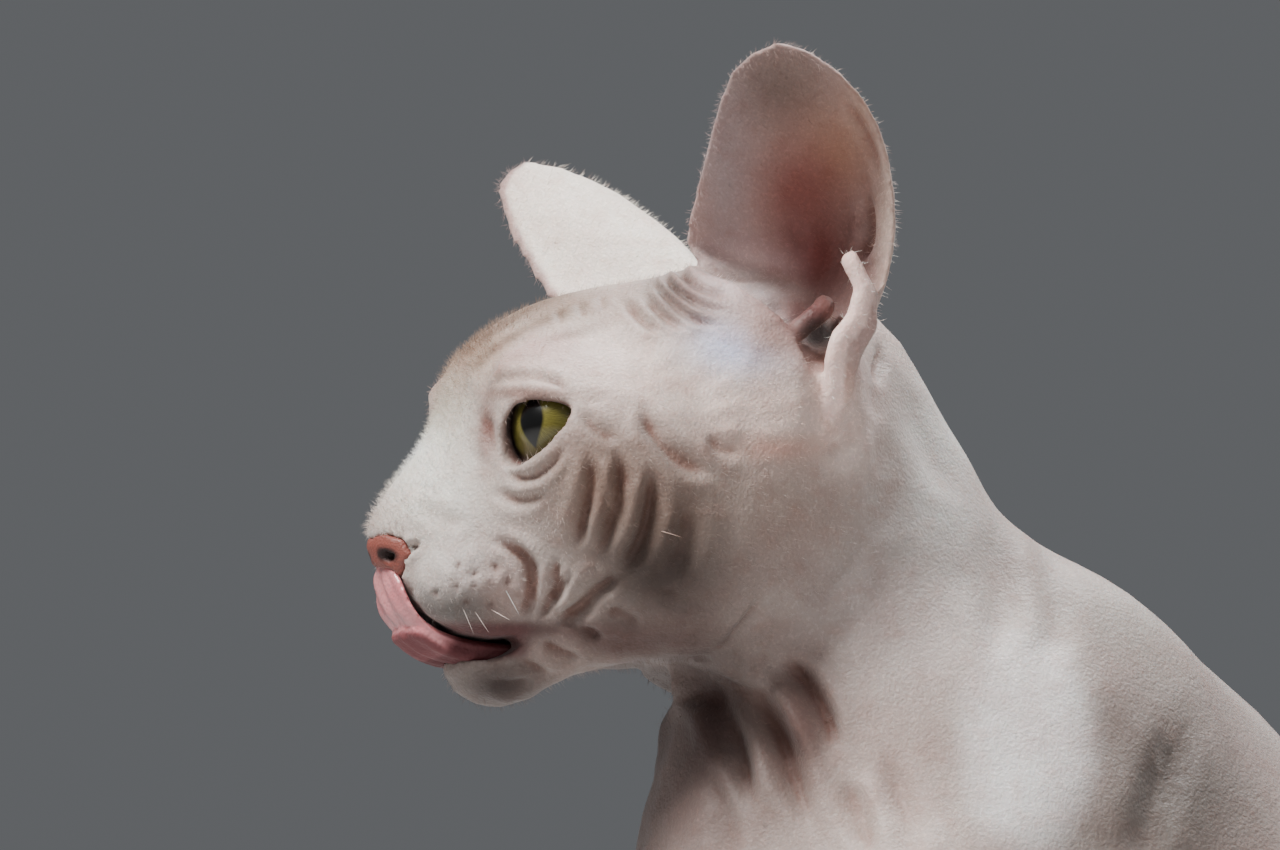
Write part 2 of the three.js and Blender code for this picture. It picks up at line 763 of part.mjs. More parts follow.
function tailPath() {
  return [
    [-206, 0, 34],
    [-226, 4, 20],
    [-238, 22, 11],
    [-236, 52, 9],
    [-214, 78, 8],
    [-178, 89, 7],
    [-140, 90, 6],
    [-104, 84, 5],
    [-76, 72, 4.4],
    [-60, 58, 4],
  ].map((p) => at(...p));
}

function tailSolid(grow = 0) {
  const radius = (t) => 3.4 + 9.4 * (1 - t) ** 1.15 + grow;
  return taperedTube(tailPath(), radius, radius, TAIL_STEPS, 10);
}

// The tail in equal lengths with thin gaps between them.
function tailPieces(tail) {
  const curve = new THREE.CatmullRomCurve3(tailPath(), false, "centripetal");
  const pieces = [];
  let rest = tail;
  for (let n = 1; n < TAIL_LENGTHS; n += 1) {
    const point = curve.getPointAt(n / TAIL_LENGTHS);
    const tangent = curve.getTangentAt(n / TAIL_LENGTHS);
    const disc = new THREE.CylinderGeometry(30, 30, GAP, 24);
    disc.applyQuaternion(new THREE.Quaternion().setFromUnitVectors(new THREE.Vector3(0, 1, 0), tangent));
    disc.translate(point.x, point.y, point.z);
    rest = rest.subtract(solidOf(disc));
  }
  rest.decompose().forEach((piece) => piece.volume() > 50 && pieces.push(piece));
  const along = (piece) => {
    const { min, max } = piece.boundingBox();
    const middle = new THREE.Vector3(min[0] + max[0], min[1] + max[1], min[2] + max[2]).divideScalar(2);
    const places = Array.from({ length: 31 }, (_, n) => n / 30);
    return places.reduce((a, b) =>
      curve.getPointAt(a).distanceTo(middle) < curve.getPointAt(b).distanceTo(middle) ? a : b,
    );
  };
  return pieces.sort((a, b) => along(a) - along(b));
}

// Sets a named mesh with its colour and finish into the model.
function place(model, name, solid, color, roughness = 0.62) {
  const material = new THREE.MeshStandardMaterial({ color, roughness, metalness: 0 });
  const mesh = new THREE.Mesh(geometryOf(solid), material);
  mesh.name = name;
  model.add(mesh);
}

const SKIN = 0xd9bcb0;
const EAR_SKIN = 0xd08d84;

function buildCat() {
  const model = new THREE.Group();
  const headRaw = headBlock(headFlesh);
  const ear = earSolid();
  const earSocket = earSolid(2 * GAP).add(earHollow());

  let head = headRaw.intersect(ahead(HEAD_CUT));
  head = head.subtract(earSocket).subtract(rightEarPose(earSocket));
  for (const side of [1, -1]) {
    const socket = eyeball(side).translate(onHead(0, side * EYE_SPREAD, 0).negate().toArray());
    const share = (EYE_RADIUS + GAP) / EYE_RADIUS;
    const grown = socket.scale([share, share, share]);
    head = head.subtract(grown.translate(onHead(0, side * EYE_SPREAD, 0).toArray()));
    head = head.subtract(lidOpening(side));
    head = head.subtract(nostril(side));
  }
  head = head.subtract(sideBlock(MOUTH_GAP, -60, 60)).subtract(tongueSolid(GAP));
  let nose = headRaw.intersect(noseBlock(GAP));
  head = head.subtract(noseBlock(0));
  nose = nose.subtract(nostril(1)).subtract(nostril(-1)).subtract(tongueSolid(GAP));
  const jawRegion = sideBlock(JAW, -60, 60);
  const jawInset = jawRegion.translate([0, -GAP, -GAP]);
  const jaw = head.intersect(jawInset);
  head = head.subtract(jawRegion);

  head = largest(head);
  place(model, "head", head, SKIN);
  place(model, "lower_jaw", largest(jaw), SKIN);
  place(model, "nose", largest(nose), 0xb98579);
  place(model, "tongue", tongueSolid(), 0xe08a94, 0.35);
  place(model, "ear_left", ear, EAR_SKIN);
  place(model, "ear_right", rightEarPose(ear), EAR_SKIN);
  place(model, "eye_left", eyeball(1), 0xa9a83f, 0.08);
  place(model, "eye_right", eyeball(-1), 0xa9a83f, 0.08);

  const body = bodyBlock().intersect(floor);
  place(model, "neck", largest(body.intersect(behind(HEAD_CUT)).intersect(ahead(NECK_CUT))), SKIN);
  const tail = tailSolid().intersect(floor);
  let torso = body.intersect(behind(NECK_CUT)).subtract(tailSolid(GAP));
  for (const region of [legRegion(FORELEG, FORELEG_SIDE, GAP), legRegion(HINDLEG, HINDLEG_SIDE, GAP)]) {
    torso = torso.subtract(region).subtract(mirrored(region));
  }
  place(model, "torso", largest(torso), SKIN);
  const foreleg = largest(legBlock(forelegFlesh, [-18, -106, 4, 66], 124).intersect(floor).intersect(legRegion(FORELEG, FORELEG_SIDE, 0)));
  const hindleg = largest(legBlock(hindlegFlesh, [-58, -236, 26, 84], 122).intersect(floor).intersect(legRegion(HINDLEG, HINDLEG_SIDE, 0)));
  place(model, "foreleg_left", foreleg, SKIN);
  place(model, "foreleg_right", mirrored(foreleg), SKIN);
  place(model, "hindleg_left", hindleg, SKIN);
  place(model, "hindleg_right", mirrored(hindleg), SKIN);
  tailPieces(tail).forEach((piece, n) => place(model, `tail_${n + 1}`, piece, SKIN));
  const bounds = new THREE.Box3().setFromObject(model);
  const middle = bounds.getCenter(new THREE.Vector3());
  model.position.set(-middle.x, -middle.y, -bounds.min.z);
  return model;
}

export default buildCat();
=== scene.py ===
"""A sitting sphynx cat with its tongue at its nose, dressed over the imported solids.

Units are metres. The cat faces -Y, its left side is +X and the floor is z = 0. Sizes on the head
are in millimetres from the midpoint between the eyeball centres: forward, left and up.
"""

import logging
import math
from collections.abc import Sequence
from dataclasses import dataclass
from enum import Enum

import bmesh
import bpy
import numpy as np
from mathutils import Matrix, Vector
from mathutils.bvhtree import BVHTree


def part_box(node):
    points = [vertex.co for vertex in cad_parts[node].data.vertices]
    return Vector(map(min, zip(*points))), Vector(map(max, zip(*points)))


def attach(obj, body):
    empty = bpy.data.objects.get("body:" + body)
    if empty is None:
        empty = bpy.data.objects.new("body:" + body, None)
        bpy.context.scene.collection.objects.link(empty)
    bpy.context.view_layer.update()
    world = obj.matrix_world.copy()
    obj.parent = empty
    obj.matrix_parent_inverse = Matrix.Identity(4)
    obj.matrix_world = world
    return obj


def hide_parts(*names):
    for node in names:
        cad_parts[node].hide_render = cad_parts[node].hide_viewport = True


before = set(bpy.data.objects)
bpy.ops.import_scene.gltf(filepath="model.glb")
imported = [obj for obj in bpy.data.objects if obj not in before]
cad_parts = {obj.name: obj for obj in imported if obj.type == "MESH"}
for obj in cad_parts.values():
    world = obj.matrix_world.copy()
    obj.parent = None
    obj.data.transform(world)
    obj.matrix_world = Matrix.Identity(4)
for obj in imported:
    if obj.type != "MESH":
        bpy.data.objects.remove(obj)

LOG = logging.getLogger("sphynx")
MM = 0.001
EYE_HEIGHT = 268.0
EYE_RADIUS = 10.7
EYE_SPREAD = 20.0
LIPS_UP = -38.0
MOUTH_UP = -40.5
BODY = "root"

Colour = tuple[float, float, float]
Point = tuple[float, float]
Place = tuple[float, float, float]


class Side(Enum):
    """The cat's own two sides."""

    LEFT = 1
    RIGHT = -1


@dataclass(frozen=True)
class HeadFrame:
    """Turns places on the head into places in the model, and into the flat side view.

    Attributes:
        turn: how far the viewer stands ahead of the cat's left side, in degrees.
        tilt: how far below the head the viewer is, in degrees.
    """

    turn: float = 20.0
    tilt: float = 6.0

    def centre(self) -> Vector:
        """The midpoint between the eyeballs, in metres."""
        left_low, left_high = (Vector(v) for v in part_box("eye_left"))
        right_low, _ = (Vector(v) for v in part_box("eye_right"))
        return Vector(
            (
                (left_high.x + right_low.x) / 2,
                left_high.y - EYE_RADIUS * MM,
                EYE_HEIGHT * MM,
            )
        )

    def point(self, forward: float, left: float, up: float) -> Vector:
        """A place in the model from millimetres forward, left and up on the head."""
        return self.centre() + Vector((left, -forward, up)) * MM

    def local(self, places: np.ndarray) -> np.ndarray:
        """Millimetres forward, left and up on the head.

        Args:
            places: an (n, 3) array of places in metres.

        Returns:
            An (n, 3) array of forward, left and up.
        """
        moved = (places - np.array(self.centre())) / MM
        return np.stack((-moved[:, 1], moved[:, 0], moved[:, 2]), axis=1)

    def side_view(self, local: np.ndarray) -> np.ndarray:
        """Places on either flank as millimetres back and up in the side view.

        Args:
            local: an (n, 3) array of forward, left and up; the right flank is mirrored.

        Returns:
            An (n, 2) array of back and up.
        """
        turn, tilt = math.radians(self.turn), math.radians(self.tilt)
        forward, left, up = local[:, 0], np.abs(local[:, 1]), local[:, 2]
        back = -math.cos(turn) * forward + math.sin(turn) * left
        near = math.cos(turn) * left + math.sin(turn) * forward
        return np.stack((back, math.cos(tilt) * up + math.sin(tilt) * near), axis=1)

    def outward(self, local: np.ndarray, normals: np.ndarray) -> np.ndarray:
        """How far each normal faces the side view of its own flank, from -1 to 1."""
        flank = np.sign(local[:, 1] + 1e-9)
        return flank * normals[:, 0] * 0.94 - normals[:, 1] * 0.34

    def from_eyes(self, local: np.ndarray) -> np.ndarray:
        """How far each place is from the nearer eyeball's centre, in millimetres."""
        aside = np.abs(local[:, 1]) - EYE_SPREAD
        return np.sqrt(local[:, 0] ** 2 + aside**2 + local[:, 2] ** 2)


HEAD = HeadFrame()


def smooth_step(values: np.ndarray, low: float, high: float) -> np.ndarray:
    """Rises smoothly from 0 at low to 1 at high."""
    t = np.clip((values - low) / (high - low), 0.0, 1.0)
    return t * t * (3.0 - 2.0 * t)


def spot(flat: np.ndarray, centre: Point, radius: float) -> np.ndarray:
    """1 at a place in the side view, fading out over radius millimetres."""
    return np.exp(-(((flat - np.array(centre)) ** 2).sum(1) / radius**2))


def curve_through(points: Sequence[Point], steps: int = 6) -> np.ndarray:
    """Points along a smooth curve through the given ones.

    Args:
        points: the places that the curve passes, in order.
        steps: how many points each stretch is cut into.

    Returns:
        An (n, 2) array of points.
    """
    p = np.array(points, float)
    p = np.vstack((2 * p[0] - p[1], p, 2 * p[-1] - p[-2]))
    t = np.linspace(0, 1, steps, endpoint=False)[:, None]
    parts = []
    for a, b, c, d in zip(p[:-3], p[1:-2], p[2:-1], p[3:]):
        parts.append(
            0.5
            * (
                2 * b
                + (c - a) * t
                + (2 * a - 5 * b + 4 * c - d) * t**2
                + (3 * b - a - 3 * c + d) * t**3
            )
        )
    return np.vstack((*parts, p[-2]))


def distance_along(places: np.ndarray, curve: np.ndarray) -> tuple[np.ndarray, np.ndarray]:
    """How far flat places are from a curve, to its left as negative, and how far along it.

    Args:
        places: an (n, 2) array.
        curve: an (m, 2) array of points along the curve.

    Returns:
        Signed distances, and shares of the curve's length from 0 to 1.
    """
    best = np.full(len(places), np.inf)
    signed = np.zeros(len(places))
    share = np.zeros(len(places))
    count = len(curve) - 1
    for n in range(count):
        start, step = curve[n], curve[n + 1] - curve[n]
        length = max(float(step @ step), 1e-9)
        t = np.clip(((places - start) @ step) / length, 0, 1)
        off = places - start - t[:, None] * step
        far = np.hypot(off[:, 0], off[:, 1])
        nearer = far < best
        cross = step[0] * off[:, 1] - step[1] * off[:, 0]
        best = np.where(nearer, far, best)
        signed = np.where(nearer, np.sign(cross) * far, signed)
        share = np.where(nearer, (n + t) / count, share)
    return signed, share


@dataclass(frozen=True)
class Fold:
    """A crease in the skin with a raised lip beside it, in the side view's millimetres.

    Attributes:
        path: the crease's course, back and up from the eye.
        width: how wide the crease is.
        depth: how deep it is; a negative depth is a ridge.
        lip: the raised lip's height as a share of the depth.
    """

    path: tuple[Point, ...]
    width: float = 1.4
    depth: float = 1.0
    lip: float = 0.45

    def heights(self, places: np.ndarray) -> np.ndarray:
        """How far the crease moves each place outwards, in millimetres."""
        reach = self.width * 4.5
        path = np.array(self.path)
        low, high = path.min(0) - reach, path.max(0) + reach
        near = np.all((places > low) & (places < high), axis=1)
        rise = np.zeros(len(places))
        if not near.any():
            return rise
        signed, share = distance_along(places[near], curve_through(self.path))
        end = smooth_step(np.minimum(share, 1 - share) * 3.2, 0, 1)
        width = self.width * (0.55 + 0.45 * end)
        groove = np.exp(-((signed / width) ** 2))
        lips = np.exp(-(((np.abs(signed) - 2 * width) / (1.1 * width)) ** 2))
        rise[near] = self.depth * end * (self.lip * lips - groove)
        return rise


CHEEK_FOLDS: tuple[Fold, ...] = (
    Fold(((20.6, 7.1), (23.5, 1.3), (29, -4.4), (36.2, -7.5)), 2.0, 2.1),
    Fold(((10.4, -2), (11.6, -9), (9.8, -16), (7.5, -22)), 1.6, 2.0),
    Fold(((16.5, -1), (17, -9), (15.4, -16), (12.3, -23)), 1.7, 2.3),
    Fold(((22.5, -5), (22.5, -12), (20.4, -20), (16, -27)), 1.9, 2.2),
    Fold(((13.6, -8), (14, -14), (12.6, -20)), 1.0, 1.0),
    Fold(((29, -12), (29.5, -19), (26, -27)), 2.2, 1.3),
    Fold(((33, 1), (36, -2), (41, -3)), 1.6, 0.8),
    Fold(((24, -28), (28, -31), (34, -31)), 1.8, 0.8),
)

MUZZLE_FOLDS: tuple[Fold, ...] = (
    Fold(
        ((-9, -18.8), (-3.6, -21), (-0.5, -24.2), (0.4, -28), (-0.5, -31.6), (-3.1, -34.7)),
        1.3,
        2.4,
    ),
    Fold(((4.8, -21.9), (4.4, -27.7), (2.6, -32.1), (0.8, -34.7)), 1.2, 2.0),
    Fold(((8.3, -24.6), (5.7, -29), (3.5, -31.2)), 1.0, 1.5),
    Fold(((18, -25.4), (12.3, -29), (8.3, -33), (3, -34.8)), 1.5, 2.4),
    Fold(((13.5, -24), (10, -27.5), (7, -30.5)), 1.1, 1.1),
    Fold(((7.5, -34.7), (11.4, -37.4), (12.7, -39.2)), 1.2, 1.5),
    Fold(((12.5, -31.5), (17, -34), (21, -37)), 1.5, 1.2),
    Fold(((1.7, -38.3), (5.2, -41), (10.6, -43.1)), 1.2, 1.5),
    Fold(((-8.8, -46.1), (-3.6, -47.1), (1.7, -44.9)), 1.2, 1.1),
    Fold(((-4, -41.5), (0, -43.5), (4, -45.5)), 1.1, 0.9),
    Fold(((-22, -12), (-17, -15.5), (-11, -16.5)), 1.6, 0.6),
    Fold(((-14, -28.5), (-8, -27.6), (-3.5, -27)), 1.6, -0.5),
    Fold(((-27, -23.2), (-24, -21.6), (-20.5, -19.6)), 0.8, 1.7),
)
WHISKER_PITS: tuple[Point, ...] = (
    (-13.7, -24.2),
    (-10.8, -28.1),
    (-14.2, -28.4),
    (-6.7, -24.6),
    (-4.4, -27.2),
    (-7.8, -27.7),
    (-2.7, -29.7),
    (-7.5, -31.7),
    (-18.1, -29.5),
    (-10.6, -25.7),
    (-12.2, -31.2),
)

BROW_FOLDS: tuple[Fold, ...] = (
    Fold(((-9.6, 6.9), (-8.8, 12.5), (-4.8, 16.7), (5.2, 21)), 1.2, 1.1),
    Fold(((-18.8, 11.2), (-14.6, 16.7), (-10.4, 21)), 1.0, 0.8),
    Fold(((-8.8, 9.4), (-3.3, 11.4), (3.8, 10.9), (8.1, 8)), 0.9, 0.9),
    Fold(((-5.5, -6.4), (-1.2, -8), (3.4, -5.6), (7.3, -1.2)), 1.0, 1.1),
    Fold(((-8, -10), (-2.4, -12), (3.6, -10.2)), 1.2, 0.8),
    Fold(((-8.4, 5), (-8, 0.5), (-7, -4.6)), 1.1, 0.9),
    Fold(((8.6, 5.5), (12.6, 1.5), (17.5, -1.5)), 1.2, 0.9),
    Fold(((12.9, 27.3), (13.7, 23.8)), 0.8, 0.6),
    Fold(((8.7, 26), (10, 22.5)), 0.8, 0.6),
    Fold(((4.5, 24.6), (6, 21)), 0.8, 0.5),
)

EAR_BASE_FOLDS: tuple[Fold, ...] = (
    Fold(((16.3, 27), (20.6, 22.5), (25.4, 19.6)), 0.9, 0.9),
    Fold(((20.5, 27.6), (25.4, 22.9), (31.2, 20.2)), 0.9, 1.2),
    Fold(((22.7, 30), (26, 26.3), (30.2, 22.9), (37, 20.4)), 0.9, 2.0),
    Fold(((24.4, 32), (27.3, 28.3), (32.1, 25.2), (39.5, 23.3)), 0.9, 2.1),
    Fold(((26.2, 34), (29.2, 30.4), (33.6, 27.7), (42.5, 26.2)), 0.9, 2.0),
    Fold(((28.8, 36), (32.3, 32.8), (37.9, 30.6), (45.4, 29.6)), 0.9, 1.1),
    Fold(((41, 21), (45.5, 24), (49.5, 24.5)), 1.4, 0.9),
    Fold(((61, 6), (60.5, 0), (54, -4)), 1.6, 1.2),
)

NECK_FOLDS: tuple[Fold, ...] = (
    Fold(((22, -42), (33, -48), (39, -58), (41.7, -75.6)), 2.4, 3.2),
    Fold(((30, -41.5), (42, -51), (49, -63), (54, -78)), 2.3, 3.0),
    Fold(((44.5, -43), (50, -52), (55, -63)), 2.0, -2.4),
    Fold(((47, -41), (54, -49), (59, -61)), 1.7, 1.8),
    Fold(((59, -64), (64.8, -79.4)), 2.0, 1.6),
    Fold(((66, -58), (71, -72), (72, -84)), 2.2, 1.1),
    Fold(((34, -62), (37, -74), (36, -86)), 2.0, 1.3),
    Fold(((128.3, -48.7), (118.7, -69.8), (114.8, -82)), 3.4, 1.5),
    Fold(((86, -14), (90, -28), (88, -44)), 3.2, 1.2),
    Fold(((96, -18), (100, -32), (99, -46)), 3.2, 0.8),
    Fold(((70, 12), (76, -2), (84, -14)), 2.6, 0.8),
)

EAR_FOLDS: tuple[Fold, ...] = (
    Fold(((63.8, 48), (64.2, 38), (61.8, 33)), 1.1, 1.8),
    Fold(((58, 66), (64, 56), (66.5, 48)), 0.9, 0.7),
    Fold(((48, 44), (51, 34), (55, 28)), 1.6, 0.7),
)


@dataclass(frozen=True)
class Patch:
    """A soft-edged patch of colour on the skin, in the side view's millimetres; some patches are
    painted light and shade.

    Attributes:
        centre: the patch's middle, back and up from the eye.
        radii: how far it reaches back and up.
        colour: its colour.
        weight: how strongly it covers what lies under it.
        edge: how crisp its edge is; 1 is soft.
    """

    centre: Point
    radii: Point
    colour: Colour
    weight: float = 1.0
    edge: float = 1.0

    def cover(self, places: np.ndarray) -> np.ndarray:
        """How much of each place the patch covers, from 0 to its weight."""
        off = (places - np.array(self.centre)) / np.array(self.radii)
        far = (off**2).sum(1)
        return self.weight * np.exp(-(far**self.edge))


def laid_over(tone: np.ndarray, colour: Colour, cover: np.ndarray) -> np.ndarray:
    """Lays one colour over an (n, 3) array of tones, as strongly as cover says."""
    share = cover[:, None]
    return tone * (1 - share) + np.array(colour) * share


def painted(flat: np.ndarray, base: Colour, patches: tuple[Patch, ...]) -> np.ndarray:
    """The tones of a base colour under patches that lie over it in turn."""
    tone = np.tile(np.array(base), (len(flat), 1))
    for patch in patches:
        tone = laid_over(tone, patch.colour, patch.cover(flat))
    return tone


# Painted shade, near black, in the ear canal's opening.
EAR_CANAL_SHADE = Patch((54.8, 19.4), (4.2, 3.6), (0.01, 0.005, 0.005), 0.99, 2)

SKIN_BASE: Colour = (0.44, 0.36, 0.325)
# The skin's own colour patches, with painted shade under the jaw, on the throat and below the
# shoulder, and a painted highlight before the ear.
SKIN_PATCHES_AND_PAINTED_LIGHT: tuple[Patch, ...] = (
    Patch((65, -31), (20, 22), (0.32, 0.27, 0.255), 0.85),
    Patch((78, -6), (8, 20), (0.72, 0.7, 0.66), 0.8),
    # Painted shadow below the shoulder.
    Patch((124, -66), (24, 24), (0.07, 0.058, 0.05), 0.93),
    Patch((112, -36), (22, 9), (0.36, 0.33, 0.3), 0.65),
    Patch((94, -58), (13, 21), (0.72, 0.69, 0.68), 0.9, 3.5),
    Patch((82, -40), (10, 8), (0.5, 0.44, 0.42), 0.6),
    Patch((44, -12), (18, 12), (0.37, 0.275, 0.235), 0.75),
    Patch((13, -9), (13, 15), (0.19, 0.12, 0.09), 0.9),
    Patch((26, -16), (11, 13), (0.15, 0.098, 0.074), 0.85),
    # Painted shade on the lower cheek.
    Patch((24, -26), (14, 10), (0.036, 0.02, 0.015), 0.94),
    # Painted shade along the lower jaw.
    Patch((17, -39), (16, 5.5), (0.075, 0.032, 0.026), 0.9),
    # Painted shade under the chin.
    Patch((-6, -47.5), (12, 7), (0.03, 0.017, 0.015), 0.95),
    Patch((4, -40), (5, 4), (0.34, 0.26, 0.23), 0.6),
    # Painted shade on the throat under the jaw.
    Patch((34, -54), (12, 20), (0.026, 0.008, 0.007), 0.96),
    # Painted shade on the throat behind the jaw.
    Patch((51, -54), (7, 15), (0.1, 0.038, 0.03), 0.78),
    Patch((26, -74), (16, 14), (0.16, 0.105, 0.095), 0.75),
    Patch((-19, -3), (8, 19), (0.74, 0.75, 0.69), 0.95),
    Patch((-17, 7), (5, 6), (0.42, 0.37, 0.3), 0.75),
    Patch((-10, -26), (13, 9), (0.46, 0.4, 0.375), 0.85),
    Patch((-14, -33), (13, 5), (0.1, 0.085, 0.077), 0.88),
    Patch((-4.5, -29), (4, 6), (0.5, 0.36, 0.32), 0.5),
    Patch((-12, 17), (10, 7), (0.31, 0.2, 0.135), 0.85),
    Patch((3, 25), (16, 5), (0.2, 0.14, 0.1), 0.87),
    Patch((17, 13), (17, 8), (0.78, 0.64, 0.58), 0.85),
    Patch((46, 5), (13, 8), (0.74, 0.56, 0.5), 0.8),
    # Painted highlight, bluish white, before the ear's root.
    Patch((39.5, 18), (8, 5), (0.6, 0.7, 1.0), 0.9),
    Patch((29, 28), (8, 5), (0.06, 0.036, 0.03), 0.88),
    Patch((42, 27), (7, 4), (0.56, 0.48, 0.49), 0.7),
    Patch((-8.6, 1.5), (1.9, 6.5), (0.17, 0.06, 0.045), 0.85),
    Patch((-1, 8.4), (9, 1.3), (0.2, 0.09, 0.07), 0.75),
    Patch((-1, -36.5), (15, 2.0), (0.07, 0.028, 0.025), 0.85),
    Patch((58, 8), (3.4, 9), (0.55, 0.24, 0.17), 0.75),
    Patch((48, -2), (10, 2.6), (0.5, 0.27, 0.21), 0.6),
    Patch((60, 0), (5, 8), (0.82, 0.66, 0.6), 0.85),
    Patch((51, 23.5), (4.5, 4), (0.22, 0.1, 0.095), 0.85),
    EAR_CANAL_SHADE,
)

EAR_BASE: Colour = (0.42, 0.29, 0.265)
# The ear's own colour patches, with painted shade in the canal and painted light on the cup's bottom.
EAR_PATCHES_AND_PAINTED_LIGHT: tuple[Patch, ...] = (
    Patch((47, 66), (13, 11), (0.15, 0.1, 0.083), 0.9),
    Patch((37, 48), (5.5, 20), (0.3, 0.235, 0.235), 0.85),
    Patch((58, 54), (8, 9), (0.33, 0.165, 0.1), 0.85),
    Patch((51, 47), (9, 11), (0.21, 0.062, 0.048), 0.95),
    Patch((54, 34), (9, 10), (0.15, 0.032, 0.028), 0.97),
    Patch((53, 24), (6, 6), (0.09, 0.02, 0.018), 0.9),
    Patch((38, 31), (6, 6), (0.45, 0.36, 0.36), 0.75),
    # The ear cup bottom's own pinkish grey, made paler as painted light where it faces down into
    # shade.
    Patch((39.5, 32), (8, 4), (0.8, 0.62, 0.62), 0.9),
    Patch((67.5, 42), (2.3, 22), (0.52, 0.4, 0.34), 0.85),
    Patch((63, 66), (4, 10), (0.4, 0.26, 0.2), 0.7),
    EAR_CANAL_SHADE,
)
EAR_BACK: Colour = (0.68, 0.6, 0.53)
# The ear lobe's own pale tone, made paler still as painted light where it faces down.
LOBE_TONE_AND_PAINTED_LIGHT: Colour = (0.9, 0.66, 0.6)
PIT_TONE: Colour = (0.14, 0.07, 0.055)
STRIPE_TONE: Colour = (0.13, 0.075, 0.045)
PAW_TONE: Colour = (0.56, 0.36, 0.32)
BACK_TONE: Colour = (0.4, 0.3, 0.27)
# The gums' own dark colour, with painted shade inside the open mouth.
GUM_AND_MOUTH_SHADE_TONE: Colour = (0.1, 0.035, 0.035)
EYE_RIM_TONE: Colour = (0.12, 0.055, 0.045)
STRIPES: tuple[tuple[Point, ...], ...] = (
    ((-15, 14), (-9, 19), (0, 25), (12, 30)),
    ((-12, 12), (-7, 17), (2, 22), (14, 27)),
    ((-17, 17), (-10, 23), (-2, 28)),
    ((-8, 11), (-4, 15), (4, 18.5), (16, 22)),
)
LOBE_PATH: tuple[Place, ...] = (
    (-48.3, 44.2, 31),
    (-50.6, 44.8, 26),
    (-49.3, 44.2, 20.2),
    (-46.4, 43, 16.2),
    (-45.7, 41.6, 12.2),
    (-46.4, 40, 7.8),
    (-46.8, 37.6, 3.2),
)
LOBE_REAR: tuple[Place, ...] = (
    (-51.6, 43.8, 25),
    (-52, 43.4, 19),
    (-49.4, 42.2, 14),
    (-48.8, 40.4, 9),
    (-48.6, 38, 4.6),
)
KNOB_PATH: tuple[Place, ...] = (
    (-40.5, 35.3, 18),
    (-43.5, 36.4, 20.6),
    (-46, 35.6, 22.6),
    (-48, 31, 24),
)
HEAD_SEAM: tuple[Point, Point] = ((-46, -12), (0.86, 0.51))
NECK_SEAM: tuple[Point, Point] = ((-66, -47), (0.68, 0.73))
SMOOTH_SHARE = 0.52
SWELL_SHARE = -0.54


def linked(piece: bpy.types.Object) -> bpy.types.Object:
    """Puts a new object in the scene."""
    bpy.context.scene.collection.objects.link(piece)
    return piece


def applied(piece: bpy.types.Object) -> bpy.types.Object:
    """Makes an object's modifiers part of its mesh."""
    evaluated = piece.evaluated_get(bpy.context.evaluated_depsgraph_get())
    mesh = bpy.data.meshes.new_from_object(evaluated)
    old = piece.data
    piece.modifiers.clear()
    piece.data = mesh
    bpy.data.meshes.remove(old)
    return piece


def merged_copy(name: str, nodes: list[str], grow: float) -> bpy.types.Object:
    """A copy of some nodes with their doubled points merged, grown a little outwards.

    Args:
        name: the new object's name.
        nodes: the nodes to copy.
        grow: how far each point moves outwards, in millimetres.

    Returns:
        The new object.
    """
    mesh = bpy.data.meshes.new(name)
    bm = bmesh.new()
    for node in nodes:
        bm.from_mesh(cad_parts[node].data)
    bmesh.ops.remove_doubles(bm, verts=bm.verts, dist=0.01 * MM)
    bm.normal_update()
    for vert in bm.verts:
        vert.co += vert.normal * grow * MM
    bm.to_mesh(mesh)
    bm.free()
    return linked(bpy.data.objects.new(name, mesh))


def remeshed(piece: bpy.types.Object, size: float) -> bpy.types.Object:
    """Rebuilds an object as one closed surface of even faces, size millimetres wide."""
    modifier = piece.modifiers.new("even", "REMESH")
    modifier.mode = "VOXEL"
    modifier.voxel_size = size * MM
    modifier.use_smooth_shade = True
    return applied(piece)


def places_of(mesh: bpy.types.Mesh) -> np.ndarray:
    """A mesh's points as an (n, 3) array in metres."""
    flat = np.zeros(len(mesh.vertices) * 3)
    mesh.vertices.foreach_get("co", flat)
    return flat.reshape(-1, 3)


def normals_of(mesh: bpy.types.Mesh) -> np.ndarray:
    """A mesh's point normals as an (n, 3) array."""
    flat = np.zeros(len(mesh.vertices) * 3, np.float32)
    mesh.vertex_normals.foreach_get("vector", flat)
    return flat.reshape(-1, 3).astype(float)


def set_places(mesh: bpy.types.Mesh, places: np.ndarray) -> None:
    """Moves a mesh's points to the given places."""
    mesh.vertices.foreach_set("co", places.ravel())
    mesh.update()


class Neighbours:
    """Averages values over the points that share an edge with each point of a mesh."""

    def __init__(self, mesh: bpy.types.Mesh) -> None:
        """Reads the mesh's edges."""
        edges = np.zeros(len(mesh.edges) * 2, np.int64)
        mesh.edges.foreach_get("vertices", edges)
        self.first, self.second = edges[::2], edges[1::2]
        self.count = len(mesh.vertices)
        self.degree = np.maximum(self.sums(np.ones(self.count)), 1)

    def sums(self, values: np.ndarray) -> np.ndarray:
        """The sum of an (n,) array over each point's neighbours."""
        from_first = np.bincount(self.first, values[self.second], self.count)
        return from_first + np.bincount(self.second, values[self.first], self.count)

    def mean(self, values: np.ndarray) -> np.ndarray:
        """The mean of an (n,) or (n, 3) array over each point's neighbours."""
        if values.ndim == 1:
            return self.sums(values) / self.degree
        return np.stack([self.sums(column) / self.degree for column in values.T], axis=1)


def relaxed(mesh: bpy.types.Mesh, rounds: int, keep: np.ndarray | None = None) -> None:
    """Evens out a mesh without shrinking it.

    Args:
        mesh: the mesh to smooth.
        rounds: how many rounds of smoothing.
        keep: how much of its own place each point keeps, from 0 to 1.
    """
    neighbours = Neighbours(mesh)
    places = places_of(mesh)
    free = 1.0 if keep is None else (1.0 - keep)[:, None]
    for _ in range(rounds):
        for share in (SMOOTH_SHARE, SWELL_SHARE):
            places = places + share * free * (neighbours.mean(places) - places)
    set_places(mesh, places)


